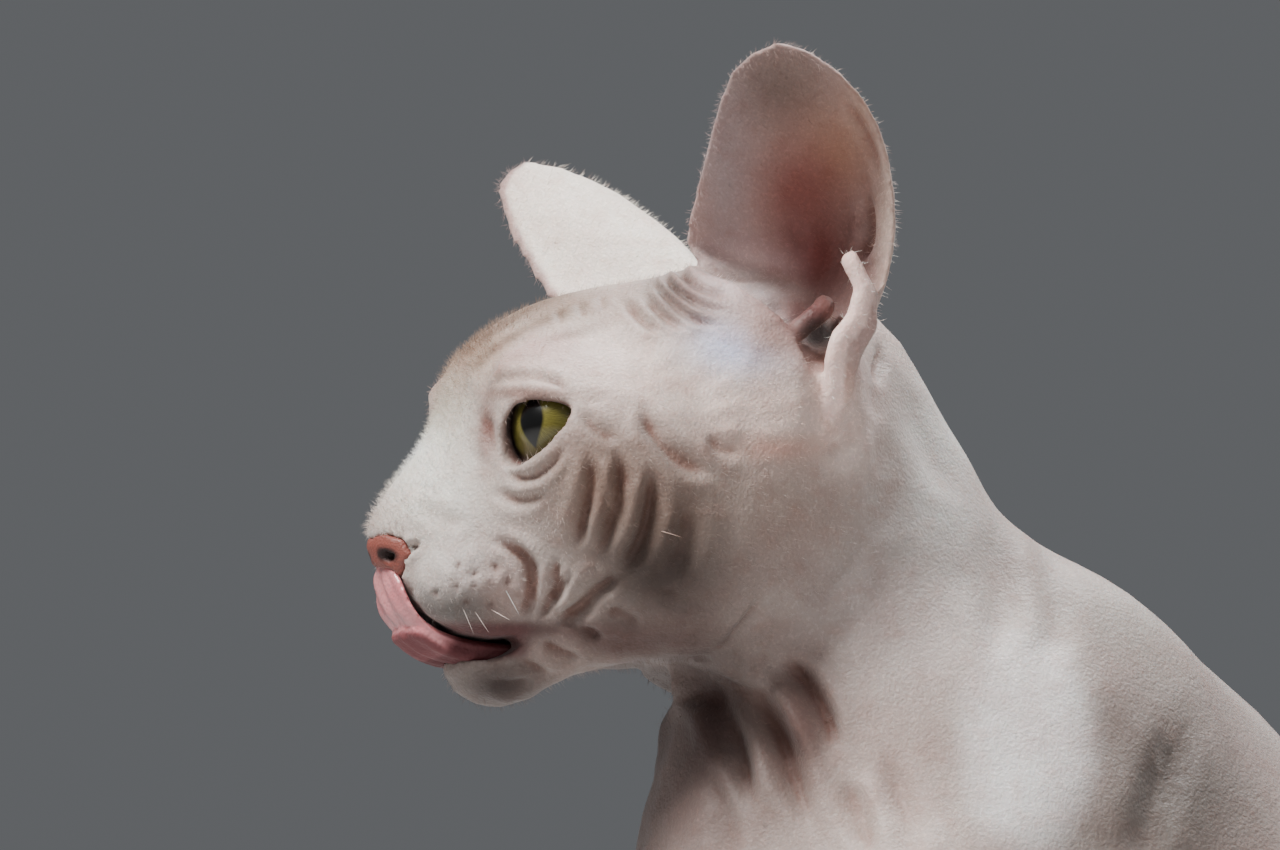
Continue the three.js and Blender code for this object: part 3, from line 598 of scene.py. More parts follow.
def faired(mesh: bpy.types.Mesh, keep: np.ndarray, size: float = 3.0, rounds: int = 90) -> None:
    """Draws broad forms onto a coarse, well smoothed copy of themselves.

    Args:
        mesh: the mesh to fair.
        keep: how much of its own place each point keeps, from 0 to 1.
        size: the copy's face width, in millimetres.
        rounds: how many rounds of smoothing the copy gets.
    """
    coarse = remeshed(linked(bpy.data.objects.new("coarse", mesh.copy())), size)
    relaxed(coarse.data, rounds)
    corners = [list(face.vertices) for face in coarse.data.polygons]
    tree = BVHTree.FromPolygons(places_of(coarse.data).tolist(), corners)
    places = places_of(mesh)
    for index in np.nonzero(keep < 0.99)[0]:
        near = tree.find_nearest(Vector(places[index]))[0]
        places[index] = keep[index] * places[index] + (1 - keep[index]) * np.array(near)
    set_places(mesh, places)
    bpy.data.objects.remove(coarse)


def set_colours(mesh: bpy.types.Mesh, name: str, colours: np.ndarray) -> None:
    """Stores one colour for each point of a mesh."""
    layer = mesh.color_attributes.new(name, "FLOAT_COLOR", "POINT")
    full = np.ones((len(colours), 4), np.float32)
    full[:, :3] = colours
    layer.data.foreach_set("color", full.ravel())


def thinned(piece: bpy.types.Object, faces: int, fine: np.ndarray) -> bpy.types.Object:
    """Takes faces out of an object, fewer where fine is near 1.

    Args:
        piece: the object to thin.
        faces: how many triangles it may keep.
        fine: how much each point's surroundings are kept, from 0 to 1.

    Returns:
        The same object.
    """
    count = sum(len(face.vertices) - 2 for face in piece.data.polygons)
    if count <= faces:
        return piece
    group = piece.vertex_groups.new(name="coarse")
    levels = np.round((1.0 - fine) * 10).astype(int)
    for level in range(1, 11):
        chosen = np.nonzero(levels == level)[0]
        if len(chosen):
            group.add(chosen.tolist(), level / 10, "REPLACE")
    modifier = piece.modifiers.new("thin", "DECIMATE")
    modifier.ratio = faces / count
    modifier.vertex_group = group.name
    modifier.vertex_group_factor = 4.0
    modifier.use_collapse_triangulate = True
    applied(piece)
    piece.vertex_groups.clear()
    return piece


@dataclass
class ShaderBench:
    """A short way to lay out one material's or one group's nodes."""

    tree: bpy.types.NodeTree

    def add(self, kind: str, settings: dict | None = None, **inputs: object) -> bpy.types.Node:
        """Adds a node.

        Args:
            kind: the node's type.
            settings: the node's own properties.
            **inputs: values or sockets for its inputs, with _ for spaces in their names.

        Returns:
            The new node.
        """
        made = self.tree.nodes.new(kind)
        for name, value in (settings or {}).items():
            setattr(made, name, value)
        for name, value in inputs.items():
            socket = made.inputs[name.replace("_", " ")]
            if isinstance(value, bpy.types.NodeSocket):
                self.tree.links.new(value, socket)
            else:
                socket.default_value = value
        return made

    def join(self, source: bpy.types.NodeSocket, target: bpy.types.NodeSocket) -> None:
        """Links one socket to another."""
        self.tree.links.new(source, target)

    def math(self, operation: str, first: object, second: object = 0.0) -> bpy.types.NodeSocket:
        """Adds a Math node and gives its result."""
        made = self.tree.nodes.new("ShaderNodeMath")
        made.operation = operation
        for socket, value in zip(made.inputs, (first, second)):
            if isinstance(value, bpy.types.NodeSocket):
                self.tree.links.new(value, socket)
            else:
                socket.default_value = value
        return made.outputs[0]

    def mix(
        self, share: object, first: object, second: object, blend: str = "MIX"
    ) -> bpy.types.NodeSocket:
        """Mixes two colours and gives the result."""
        made = self.tree.nodes.new("ShaderNodeMix")
        made.data_type = "RGBA"
        made.blend_type = blend
        for name, value in (("Factor_Float", share), ("A_Color", first), ("B_Color", second)):
            socket = next(s for s in made.inputs if s.identifier == name)
            if isinstance(value, bpy.types.NodeSocket):
                self.tree.links.new(value, socket)
            else:
                socket.default_value = (*value, 1.0) if isinstance(value, tuple) else value
        return next(s for s in made.outputs if s.identifier == "Result_Color")

    def ramp(self, value: bpy.types.NodeSocket, low: float, high: float) -> bpy.types.NodeSocket:
        """Stretches a value so that low becomes 0 and high becomes 1."""
        made = self.add("ShaderNodeMapRange", {"clamp": True}, Value=value)
        made.inputs["From Min"].default_value = low
        made.inputs["From Max"].default_value = high
        return made.outputs[0]

    def scaled(self, value: bpy.types.NodeSocket, by: float, plus: float) -> bpy.types.NodeSocket:
        """Multiplies a value and adds to it."""
        result = self.math("MULTIPLY_ADD", value, by)
        result.node.inputs[2].default_value = plus
        return result

    def tinted(
        self,
        base: bpy.types.NodeSocket,
        source: bpy.types.NodeSocket,
        tint: Colour,
        where: bpy.types.NodeSocket,
        reach: Point,
        share: float,
    ) -> bpy.types.NodeSocket:
        """Lays a tinted copy of one colour over another where a value is high.

        Args:
            base: the colour that lies under.
            source: the colour that is copied.
            tint: what the copy is multiplied by.
            where: the value.
            reach: the values where the copy starts and where it is full.
            share: how strongly it covers.

        Returns:
            The resulting colour.
        """
        cover = self.math("MULTIPLY", self.ramp(where, *reach), share)
        return self.mix(cover, base, self.mix(1.0, source, tint, "MULTIPLY"))


def new_material(name: str) -> tuple[bpy.types.Material, ShaderBench, bpy.types.Node]:
    """A new material, a bench for its nodes and its surface shader."""
    material = bpy.data.materials.new(name)
    material.use_nodes = True
    return material, ShaderBench(material.node_tree), material.node_tree.nodes["Principled BSDF"]


def skin_grain_group() -> bpy.types.NodeTree:
    """The fine relief of bare skin: pores, crossing creases and goose bumps."""
    group = bpy.data.node_groups.new("skin_grain", "ShaderNodeTree")
    group.interface.new_socket("Vector", in_out="INPUT", socket_type="NodeSocketVector")
    group.interface.new_socket("Height", in_out="OUTPUT", socket_type="NodeSocketFloat")
    group.interface.new_socket("Mottle", in_out="OUTPUT", socket_type="NodeSocketFloat")
    bench = ShaderBench(group)
    place = bench.add("NodeGroupInput").outputs["Vector"]
    result = bench.add("NodeGroupOutput")
    warp = bench.add("ShaderNodeTexNoise", Vector=place, Scale=160.0, Detail=2.0).outputs["Color"]
    bent = bench.add("ShaderNodeVectorMath", {"operation": "MULTIPLY_ADD"}, Vector=warp)
    bent.inputs[1].default_value = (0.004, 0.004, 0.004)
    bench.join(place, bent.inputs[2])
    pores = bench.add("ShaderNodeTexVoronoi", Vector=bent.outputs[0], Scale=950.0)
    cells = bench.add(
        "ShaderNodeTexVoronoi",
        {"feature": "DISTANCE_TO_EDGE"},
        Vector=bent.outputs[0],
        Scale=420.0,
    )
    grain = bench.add("ShaderNodeTexNoise", Vector=place, Scale=1500.0, Detail=3.0)
    lumps = bench.add("ShaderNodeTexNoise", Vector=place, Scale=230.0, Detail=4.0)
    height = bench.math("MULTIPLY", bench.ramp(cells.outputs["Distance"], 0.0, 0.16), 0.1)
    height = bench.math("ADD", height, bench.math("MULTIPLY", pores.outputs["Distance"], 0.25))
    height = bench.math("ADD", height, bench.math("MULTIPLY", grain.outputs[0], 0.9))
    height = bench.math("ADD", height, bench.math("MULTIPLY", lumps.outputs[0], 1.1))
    bench.join(height, result.inputs["Height"])
    bench.join(lumps.outputs[0], result.inputs["Mottle"])
    return group


@dataclass(frozen=True)
class SkinFinish:
    """Bare, finely creased skin whose colour, painted light and shade included, follows the body.

    Attributes:
        name: the material's name.
        layer: the colour layer that it reads, with the skin's tones and its painted light and shade.
        roughness: how matt it is.
        relief: how strong its fine relief is, in metres.
    """

    name: str = "bare_skin"
    layer: str = "skin_tone_and_painted_light"
    roughness: float = 0.56
    relief: float = 0.0003

    def material(self, grain: bpy.types.NodeTree) -> bpy.types.Material:
        """Makes the material.

        Args:
            grain: the node group of the skin's relief.

        Returns:
            The new material.
        """
        material, bench, shader = new_material(self.name)
        place = bench.add("ShaderNodeTexCoord").outputs["Object"]
        tone = bench.add("ShaderNodeAttribute", {"attribute_name": self.layer}).outputs["Color"]
        fine = bench.add("ShaderNodeGroup", {"node_tree": grain}, Vector=place)
        clouds = bench.add("ShaderNodeTexNoise", Vector=place, Scale=55.0, Detail=5.0, Roughness=0.62)
        veins = bench.add("ShaderNodeTexNoise", Vector=place, Scale=24.0, Detail=4.0, Distortion=1.2)
        down = bench.add("ShaderNodeTexNoise", Vector=place, Scale=1300.0, Detail=2.0, Roughness=0.7)
        mottle = fine.outputs["Mottle"]
        colour = bench.tinted(tone, tone, (0.68, 0.52, 0.5), clouds.outputs[0], (0.42, 0.72), 0.5)
        colour = bench.tinted(colour, tone, (1.22, 1.2, 1.2), veins.outputs[0], (0.5, 0.75), 0.35)
        colour = bench.tinted(colour, tone, (0.8, 0.62, 0.58), mottle, (0.52, 0.7), 0.35)
        colour = bench.tinted(colour, colour, (1.45, 1.45, 1.45), down.outputs[0], (0.52, 0.7), 0.5)
        bench.join(colour, shader.inputs["Base Color"])
        bench.join(bench.scaled(mottle, 0.25, self.roughness - 0.12), shader.inputs["Roughness"])
        shader.inputs["Subsurface Weight"].default_value = 0.12
        shader.inputs["Subsurface Radius"].default_value = (1.0, 0.35, 0.2)
        shader.inputs["Subsurface Scale"].default_value = 0.0022
        shader.inputs["Specular IOR Level"].default_value = 0.36
        shader.inputs["Sheen Weight"].default_value = 0.12
        shader.inputs["Sheen Roughness"].default_value = 0.5
        bump = bench.add("ShaderNodeBump", Height=fine.outputs["Height"], Distance=self.relief)
        bump.inputs["Strength"].default_value = 0.75
        bench.join(bump.outputs[0], shader.inputs["Normal"])
        return material


@dataclass(frozen=True)
class WetFinish:
    """A moist, glossy surface with fine bumps, for the tongue and the nose.

    Attributes:
        name: the material's name.
        colour: its main colour.
        shade: its darker colour.
        roughness: how matt it is under its moisture.
        wet: the share of the wet coat.
        bumps: how many bumps to the metre.
        relief: how high they are, in metres.
        dry: how matt it is where it lies in shade.
    """

    name: str
    colour: Colour
    shade: Colour
    roughness: float
    wet: float
    bumps: float
    relief: float = 0.0002
    dry: float = 0.7

    def material(self) -> bpy.types.Material:
        """Makes the material."""
        material, bench, shader = new_material(self.name)
        place = bench.add("ShaderNodeTexCoord").outputs["Object"]
        clouds = bench.add("ShaderNodeTexNoise", Vector=place, Scale=120.0, Detail=4.0)
        pebbles = bench.add("ShaderNodeTexVoronoi", Vector=place, Scale=self.bumps)
        depth = bench.add("ShaderNodeAttribute", {"attribute_name": "painted_shade_and_pale_tone"}).outputs["Color"]
        colour = bench.mix(bench.ramp(clouds.outputs[0], 0.35, 0.7), self.colour, self.shade)
        # Multiplies in the painted shade and the paleness that the mesh's colour layer holds.
        colour = bench.mix(1.0, colour, depth, "MULTIPLY")
        bench.join(colour, shader.inputs["Base Color"])
        lit = bench.ramp(depth, 0.25, 0.95)
        matt = bench.scaled(lit, self.roughness - self.dry, self.dry)
        bench.join(matt, shader.inputs["Roughness"])
        bench.join(bench.math("MULTIPLY", lit, self.wet), shader.inputs["Coat Weight"])
        shader.inputs["Coat Roughness"].default_value = 0.12
        shader.inputs["Subsurface Weight"].default_value = 0.2
        shader.inputs["Subsurface Radius"].default_value = (1.0, 0.35, 0.25)
        shader.inputs["Subsurface Scale"].default_value = 0.002
        bump = bench.add("ShaderNodeBump", Height=pebbles.outputs["Distance"], Distance=self.relief)
        bump.inputs["Strength"].default_value = 0.6
        bench.join(bump.outputs[0], shader.inputs["Normal"])
        return material


@dataclass(frozen=True)
class EyeFinish:
    """The eye's front: a ringed yellow-green iris round an upright slit, under a clear gloss.

    The pattern follows the eye's own map, whose u runs across and v up from the eye's axis,
    in eyeball radii.

    Attributes:
        name: the material's name.
        iris: the iris's colour near the pupil.
        iris_edge: its colour further out.
        rim: the dark ring round it.
        white: the colour outside it.
        pupil: the pupil's colour.
        iris_reach: how far the iris reaches from the axis.
        slit_width: half the pupil's width.
        slit_height: half the pupil's height.
    """

    name: str = "cat_eye"
    iris: Colour = (0.2, 0.175, 0.04)
    iris_edge: Colour = (0.1, 0.09, 0.018)
    rim: Colour = (0.022, 0.018, 0.01)
    white: Colour = (0.42, 0.3, 0.27)
    pupil: Colour = (0.003, 0.003, 0.003)
    iris_reach: float = 0.78
    slit_width: float = 0.26
    slit_height: float = 0.5

    def fibres(
        self, bench: ShaderBench, angle: bpy.types.NodeSocket, radius: bpy.types.NodeSocket
    ) -> bpy.types.NodeSocket:
        """The iris's colour, streaked outwards from the pupil.

        Args:
            bench: the bench of the eye's material.
            angle: the angle round the eye's axis.
            radius: the distance from it.

        Returns:
            The colour.
        """
        turned = bench.math("MULTIPLY", angle, 5.5)
        away = bench.math("MULTIPLY", radius, 1.8)
        spokes = bench.add("ShaderNodeCombineXYZ", X=turned, Y=away).outputs[0]
        noise = bench.add("ShaderNodeTexNoise", Vector=spokes, Scale=4.0, Detail=6.0, Roughness=0.7)
        base = bench.mix(bench.ramp(radius, 0.16, 0.62), self.iris, self.iris_edge)
        return bench.tinted(base, base, (0.42, 0.42, 0.3), noise.outputs[0], (0.35, 0.7), 1.0)

    def material(self) -> bpy.types.Material:
        """Makes the material."""
        material, bench, shader = new_material(self.name)
        across = bench.add("ShaderNodeUVMap", {"uv_map": "eye_map"}).outputs[0]
        parts = bench.add("ShaderNodeSeparateXYZ", Vector=across)
        u, v = parts.outputs[0], parts.outputs[1]
        square = bench.math("ADD", bench.math("POWER", u, 2.0), bench.math("POWER", v, 2.0))
        radius = bench.math("SQRT", square)
        colour = self.fibres(bench, bench.math("ARCTAN2", v, u), radius)
        edge = self.iris_reach
        colour = bench.mix(bench.ramp(radius, edge - 0.12, edge), colour, self.rim)
        colour = bench.mix(bench.ramp(radius, edge, edge + 0.06), colour, self.white)
        wide = bench.math("ABSOLUTE", bench.math("DIVIDE", u, self.slit_width))
        tall = bench.math("ABSOLUTE", bench.math("DIVIDE", v, self.slit_height))
        slit = bench.math("ADD", wide, bench.math("POWER", tall, 1.7))
        colour = bench.mix(bench.ramp(slit, 1.12, 0.9), colour, self.pupil)
        bench.join(colour, shader.inputs["Base Color"])
        shader.inputs["Roughness"].default_value = 0.3
        shader.inputs["Coat Weight"].default_value = 0.8
        shader.inputs["Coat Roughness"].default_value = 0.015
        shader.inputs["Specular IOR Level"].default_value = 0.2
        return material


@dataclass(frozen=True)
class PlainFinish:
    """A horn or hair finish with a slight change of shade along it."""

    name: str
    colour: Colour
    shade: Colour
    roughness: float = 0.4

    def material(self) -> bpy.types.Material:
        """Makes the material."""
        material, bench, shader = new_material(self.name)
        place = bench.add("ShaderNodeTexCoord").outputs["Object"]
        streaks = bench.add("ShaderNodeTexNoise", Vector=place, Scale=400.0, Detail=3.0)
        bench.join(bench.mix(streaks.outputs[0], self.colour, self.shade), shader.inputs["Base Color"])
        shader.inputs["Roughness"].default_value = self.roughness
        return material


@dataclass
class Skin:
    """The cat's whole bare skin as one surface, with its folds, its colours and its painted light and
    shade.

    Attributes:
        nodes: the solids that it stands for.
        grow: how far it stands off them, in millimetres.
        voxel: the size of its faces before thinning, in millimetres.
        faces: how many triangles it may have.
        folds: the creases pressed into its head and neck.
    """

    nodes: list[str]
    grow: float = 0.25
    voxel: float = 0.8
    faces: int = 190_000
    folds: tuple[Fold, ...] = CHEEK_FOLDS + MUZZLE_FOLDS + BROW_FOLDS + EAR_BASE_FOLDS + NECK_FOLDS

    def build(self, grain: bpy.types.NodeTree) -> bpy.types.Object:
        """Makes, shapes and colours the skin.

        Args:
            grain: the node group of the skin's relief.

        Returns:
            The finished object.
        """
        skin = merged_copy("skin", self.nodes, self.grow)
        self.add_flesh(skin)
        remeshed(skin, self.voxel * (1.0))
        LOG.info("skin surface: %d points", len(skin.data.vertices))
        local = HEAD.local(places_of(skin.data))
        self.smooth(skin.data, local)
        self.crease(skin.data)
        self.colour(skin.data)
        fine = self.detail(HEAD.local(places_of(skin.data)))
        thinned(skin, self.faces, fine)
        for polygon in skin.data.polygons:
            polygon.use_smooth = True
        skin.data.materials.clear()
        skin.data.materials.append(SkinFinish().material(grain))
        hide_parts(*self.nodes)
        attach(skin, BODY)
        return skin

    def add_flesh(self, skin: bpy.types.Object) -> None:
        """Adds the lobes and the knobs of both ears to the raw skin."""
        bm = bmesh.new()
        bm.from_mesh(skin.data)
        for side in Side:
            for (forward, left, up), size in self.lobes():
                centre = HEAD.point(forward, left * side.value, up)
                bmesh.ops.create_icosphere(
                    bm, subdivisions=2, radius=size * MM, matrix=Matrix.Translation(centre)
                )
        bm.to_mesh(skin.data)
        bm.free()

    @staticmethod
    def lobes() -> list[tuple[Place, float]]:
        """The lobe on the ear's outer rim and the knob by its opening, as rows of balls."""
        balls = []
        for path, thick in ((LOBE_PATH, 1.9), (LOBE_REAR, 2.1), (KNOB_PATH, 2.2)):
            for start, end in zip(path, path[1:]):
                for share in (0, 0.25, 0.5, 0.75):
                    place = tuple(a + (b - a) * share for a, b in zip(start, end))
                    balls.append((place, thick))
        return balls

    @staticmethod
    def detail(local: np.ndarray) -> np.ndarray:
        """How finely each place is kept: the face and ears most, the rump least."""
        face = smooth_step(local[:, 0], -70, -25) * smooth_step(local[:, 2], -75, -45)
        neck = smooth_step(local[:, 0], -150, -70) * smooth_step(local[:, 2], -110, -60)
        paws = 0.35 * (local[:, 2] < 34 - EYE_HEIGHT)
        return np.clip(np.maximum(np.maximum(face, 0.55 * neck), paws), 0, 1)

    def smooth(self, mesh: bpy.types.Mesh, local: np.ndarray) -> None:
        """Rounds the facets away, most on the broad forms and least round lids and lips.

        Args:
            mesh: the skin's mesh.
            local: its points forward, left and up on the head.
        """
        lids = 1 - smooth_step(HEAD.from_eyes(local), 13.5, 18)
        lips = smooth_step(local[:, 0], 0, 6) * (1 - smooth_step(np.abs(local[:, 2] - LIPS_UP), 6, 10))
        fine = np.maximum(lids, lips)
        relaxed(mesh, 5, fine * 0.3)
        relaxed(mesh, 14, fine)
        leaves, roots = self.ear_zones(local)
        relaxed(mesh, 55, 1 - leaves)
        seams = np.maximum(self.seam(local, *HEAD_SEAM), self.seam(local, *NECK_SEAM))
        relaxed(mesh, 40, 1 - np.maximum(roots, seams))
        head = smooth_step(local[:, 0] + local[:, 2] * 0.4, -85, -60)
        legs = 1 - smooth_step(local[:, 2] + EYE_HEIGHT, 35, 60)
        tail = smooth_step(np.abs(local[:, 1]), 66, 70)
        faired(mesh, np.maximum(np.maximum(head, legs), tail))
        relaxed(mesh, 12, head)

    @staticmethod
    def ear_zones(local: np.ndarray) -> tuple[np.ndarray, np.ndarray]:
        """The ears' leaves, and the band where their roots meet the skull, from 0 to 1."""
        aside, up = np.abs(local[:, 1]), local[:, 2]
        leaves = smooth_step(up, 26, 32) * smooth_step(aside, 12, 17)
        roots = smooth_step(up, 16, 22) * (1 - smooth_step(up, 36, 42)) * (local[:, 0] > -48)
        return leaves, roots * smooth_step(aside, 8, 13) * (1 - smooth_step(aside, 35, 39))

    @staticmethod
    def seam(local: np.ndarray, through: Point, across: Point) -> np.ndarray:
        """The band along a flat joint between two solids, from 0 to 1.

        Args:
            local: places forward, left and up on the head.
            through: a place on the joint, forward and up.
            across: the way across it, forward and up.

        Returns:
            How close each place is to the joint.
        """
        ahead, up = local[:, 0] - through[0], local[:, 2] - through[1]
        band = 1 - smooth_step(np.abs(ahead * across[0] + up * across[1]), 3, 8)
        return band * (1 - smooth_step(local[:, 2], 0, 12))

    def crease(self, mesh: bpy.types.Mesh) -> None:
        """Presses the folds into both flanks."""
        places, normals = places_of(mesh), normals_of(mesh)
        local = HEAD.local(places)
        flat = HEAD.side_view(local)
        facing = smooth_step(HEAD.outward(local, normals), 0.0, 0.4)
        ear = self.ear_share(local)
        rise = np.zeros(len(places))
        for fold in self.folds:
            rise += fold.heights(flat) * (1 - ear)
        for fold in EAR_FOLDS:
            rise += fold.heights(flat) * ear
        for pit in WHISKER_PITS:
            rise -= 0.8 * spot(flat, pit, 0.65)
        rise = rise * facing + self.lumps(local) * (1 - ear)
        set_places(mesh, places + normals * rise[:, None] * MM)

    @staticmethod
    def lumps(local: np.ndarray) -> np.ndarray:
        """The loose skin's slow unevenness, in millimetres."""
        forward, left, up = local.T
        wave = (
            np.sin(forward * 0.19 + 1.3 * np.sin(up * 0.11))
            + np.sin(up * 0.23 + 1.1 * np.sin(forward * 0.13 + left * 0.1))
            + np.sin(left * 0.21 + forward * 0.09)
        )
        body = 1 - smooth_step(forward, -95, -60)
        return wave * (0.1 + 0.22 * body)

    @staticmethod
    def ear_share(local: np.ndarray) -> np.ndarray:
        """How far each place belongs to an ear's leaf rather than to the head."""
        forward, left, up = local.T
        skull = ((forward + 31) / 40) ** 2 + (left / 33) ** 2 + ((up + 1) / 34) ** 2
        aside = smooth_step(np.abs(left), 12, 20) * smooth_step(forward, -68, -60)
        return smooth_step(skull, 1.15, 1.6) * smooth_step(up, 6, 16) * aside

    def colour(self, mesh: bpy.types.Mesh) -> None:
        """Paints the skin's tones onto its points, with painted light and shade among them."""
        places, normals = places_of(mesh), normals_of(mesh)
        local = HEAD.local(places)
        flat = HEAD.side_view(local)
        tone = self.stripes(painted(flat, SKIN_BASE, SKIN_PATCHES_AND_PAINTED_LIGHT), flat)
        for pit in WHISKER_PITS:
            tone = laid_over(tone, PIT_TONE, 0.75 * spot(flat, pit, 0.55))
        tone = self.limbs(tone, local)
        inward = -normals[:, 1] * 0.5 + np.sign(local[:, 1]) * normals[:, 0] * 0.86
        back = 1 - smooth_step(inward, -0.45, -0.1)
        leaf = laid_over(painted(flat, EAR_BASE, EAR_PATCHES_AND_PAINTED_LIGHT), EAR_BACK, back)
        ear = self.ear_share(local)[:, None]
        tone = tone * (1 - ear) + leaf * ear
        # The lobe's pale tone, with painted light on it.
        tone = laid_over(tone, LOBE_TONE_AND_PAINTED_LIGHT, self.near_path(local, LOBE_PATH, 2.6))
        crease_shade = self.painted_crease_shade(mesh, places)[:, None]
        # Painted shade: darkens the colour where the skin lies deep in a crease.
        tone = tone * (1 - crease_shade * np.array((0.34, 0.5, 0.54)))
        tone = self.mouth(tone, local)
        set_colours(mesh, SkinFinish().layer, np.clip(tone, 0, 1))

    @staticmethod
    def near_path(local: np.ndarray, path: tuple[Place, ...], reach: float) -> np.ndarray:
        """How close each place on either side lies to a path, from 0 to 1."""
        both = np.stack((local[:, 0], np.abs(local[:, 1]), local[:, 2]), axis=1)
        far = np.full(len(local), np.inf)
        for start, end in zip(np.array(path), np.array(path)[1:]):
            step = end - start
            t = np.clip((both - start) @ step / (step @ step), 0, 1)[:, None]
            far = np.minimum(far, np.linalg.norm(both - start - t * step, axis=1))
        return 1 - smooth_step(far, reach * 0.75, reach)

    @staticmethod
    def stripes(tone: np.ndarray, flat: np.ndarray) -> np.ndarray:
        """Faint brown tabby lines that fan over the forehead."""
        for line in STRIPES:
            signed, share = distance_along(flat, curve_through(line))
            ends = np.clip(share * 6, 0, 1) * np.clip((1 - share) * 4, 0, 1)
            tone = laid_over(tone, STRIPE_TONE, 0.75 * np.exp(-((signed / 1.2) ** 2)) * ends)
        return tone

    @staticmethod
    def limbs(tone: np.ndarray, local: np.ndarray) -> np.ndarray:
        """Pinker paws and tail, and a warmer lower back."""
        height = local[:, 2] + EYE_HEIGHT
        tone = laid_over(tone, PAW_TONE, 0.6 * (1 - smooth_step(height, 14, 60)))
        return laid_over(tone, BACK_TONE, 0.45 * smooth_step(-local[:, 0], 110, 170))

    @staticmethod
    def painted_crease_shade(mesh: bpy.types.Mesh, places: np.ndarray) -> np.ndarray:
        """How deep each place lies between its neighbours, from 0 to 1, for the painted shade in the
        creases.
        """
        neighbours = Neighbours(mesh)
        wide = places
        for _ in range(3):
            wide = neighbours.mean(wide)
        depth = ((wide - places) * normals_of(mesh)).sum(1) / MM
        for _ in range(2):
            depth = neighbours.mean(depth)
        return smooth_step(depth, 0.015, 0.3)

    @staticmethod
    def mouth(tone: np.ndarray, local: np.ndarray) -> np.ndarray:
        """Dark gums with painted shade inside the mouth between the lips, and dark rims round the
        eyes.
        """
        forward, up = local[:, 0], local[:, 2]
        inside = smooth_step(forward, 4, 8) * (1 - smooth_step(np.abs(up - MOUTH_UP), 2.2, 4))
        # The gums' colour and painted shade inside the mouth, between the lips.
        tone = laid_over(tone, GUM_AND_MOUTH_SHADE_TONE, inside * (1 - smooth_step(forward, 20, 30)) * 0.9)
        rim = 1 - smooth_step(HEAD.from_eyes(local), 12.0, 14.0)
        return laid_over(tone, EYE_RIM_TONE, rim * 0.9)


@dataclass
class Eye:
    """One eyeball with its bulging, glossy front.

    Attributes:
        side: which eye it is.
        turn_out: how far outwards it looks, in degrees.
        bulge_radius: the bulging front's radius, in millimetres.
        bulge_ahead: how far the front's centre lies before the eyeball's.
    """

    side: Side
    turn_out: float = 32.0
    bulge_radius: float = 8.2
    bulge_ahead: float = 3.2

    def axis(self) -> Vector:
        """Which way the eye looks."""
        out = math.radians(self.turn_out)
        return Vector((self.side.value * math.sin(out), -math.cos(out), 0.05)).normalized()

    def build(self) -> bpy.types.Object:
        """Makes the eyeball from its own map outwards.

        Returns:
            The finished object.
        """
        name = "eyeball_" + self.side.name.lower()
        mesh = bpy.data.meshes.new(name)
        bm = bmesh.new()
        bmesh.ops.create_uvsphere(bm, u_segments=56, v_segments=40, radius=EYE_RADIUS * MM)
        for vert in bm.verts:
            height = vert.co.z / (EYE_RADIUS * MM)
            if height > 0:
                sine = math.sqrt(max(0.0, 1 - height * height))
                beside = self.bulge_ahead * sine
                bulge = self.bulge_ahead * height + math.sqrt(self.bulge_radius**2 - beside**2)
                vert.co *= max(1.0, bulge / EYE_RADIUS)
        layer = bm.loops.layers.uv.new("eye_map")
        for face in bm.faces:
            face.smooth = True
            for loop in face.loops:
                co = loop.vert.co / (EYE_RADIUS * MM)
                loop[layer].uv = (co.x, co.y)
        axis = self.axis()
        across = Vector((0, 0, 1)).cross(axis).normalized()
        up = axis.cross(across)
        turn = Matrix((across, up, axis)).transposed().to_4x4()
        place = Matrix.Translation(HEAD.point(0, self.side.value * EYE_SPREAD, 0))
        bmesh.ops.transform(bm, matrix=place @ turn, verts=bm.verts)
        bm.to_mesh(mesh)
        bm.free()
        eye = linked(bpy.data.objects.new(name, mesh))
        mesh.materials.append(EyeFinish().material())
        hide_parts("eye_" + self.side.name.lower())
        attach(eye, BODY)
        return eye


@dataclass
class SoftPart:
    """A soft part that keeps its solid's form with its facets rounded away."""

    node: str
    name: str
    slot: str
    finish: WetFinish
    voxel: float = 0.45
    rounds: int = 12
    grow: float = 0.1

    def build(self) -> bpy.types.Object:
        """Makes the part and its finish."""
        part = merged_copy(self.name, [self.node], self.grow)
        self.add_flesh(part.data)
        remeshed(part, self.voxel * (1.0))
        relaxed(part.data, self.rounds)
        self.shape(part.data)
        set_colours(part.data, "painted_shade_and_pale_tone", self.tones(HEAD.local(places_of(part.data))))
        for polygon in part.data.polygons:
            polygon.use_smooth = True
        part.data.materials.clear()
        part.data.materials.append(self.finish.material())
        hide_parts(self.node)
        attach(part, BODY)
        return part

    def add_flesh(self, mesh: bpy.types.Mesh) -> None:
        """Adds nothing to the solid."""

    def shape(self, mesh: bpy.types.Mesh) -> None:
        """Leaves the form as it is."""

    def tones(self, local: np.ndarray) -> np.ndarray:
        """How light each place is: the same all over."""
        return np.ones((len(local), 3))


@dataclass
class Nose(SoftPart):
    """The nose leather, with painted shade in and behind its nostrils.

    Attributes:
        nostril: the left nostril's middle, forward, left and up.
    """

    nostril: Place = (30.0, 4.8, -24.0)

    def tones(self, local: np.ndarray) -> np.ndarray:
        """Painted shade near black in the nostrils, and paler along the lower edge."""
        ahead, aside, up = self.nostril
        middle = aside + (ahead - local[:, 0]) * 0.45
        across = (np.abs(local[:, 1]) - middle) / 2.6
        far = np.sqrt(across**2 + ((local[:, 2] - up) / 1.9) ** 2)
        # Painted shade in the nostrils.
        dark = (1 - smooth_step(far, 0.5, 1.0))[:, None]
        pale = (1 - smooth_step(local[:, 2], -29, -26.5))[:, None]
        tone = 1 - dark * np.array((0.93, 0.95, 0.95))
        return tone + pale * (1 - dark) * np.array((0.7, 1.6, 1.7))


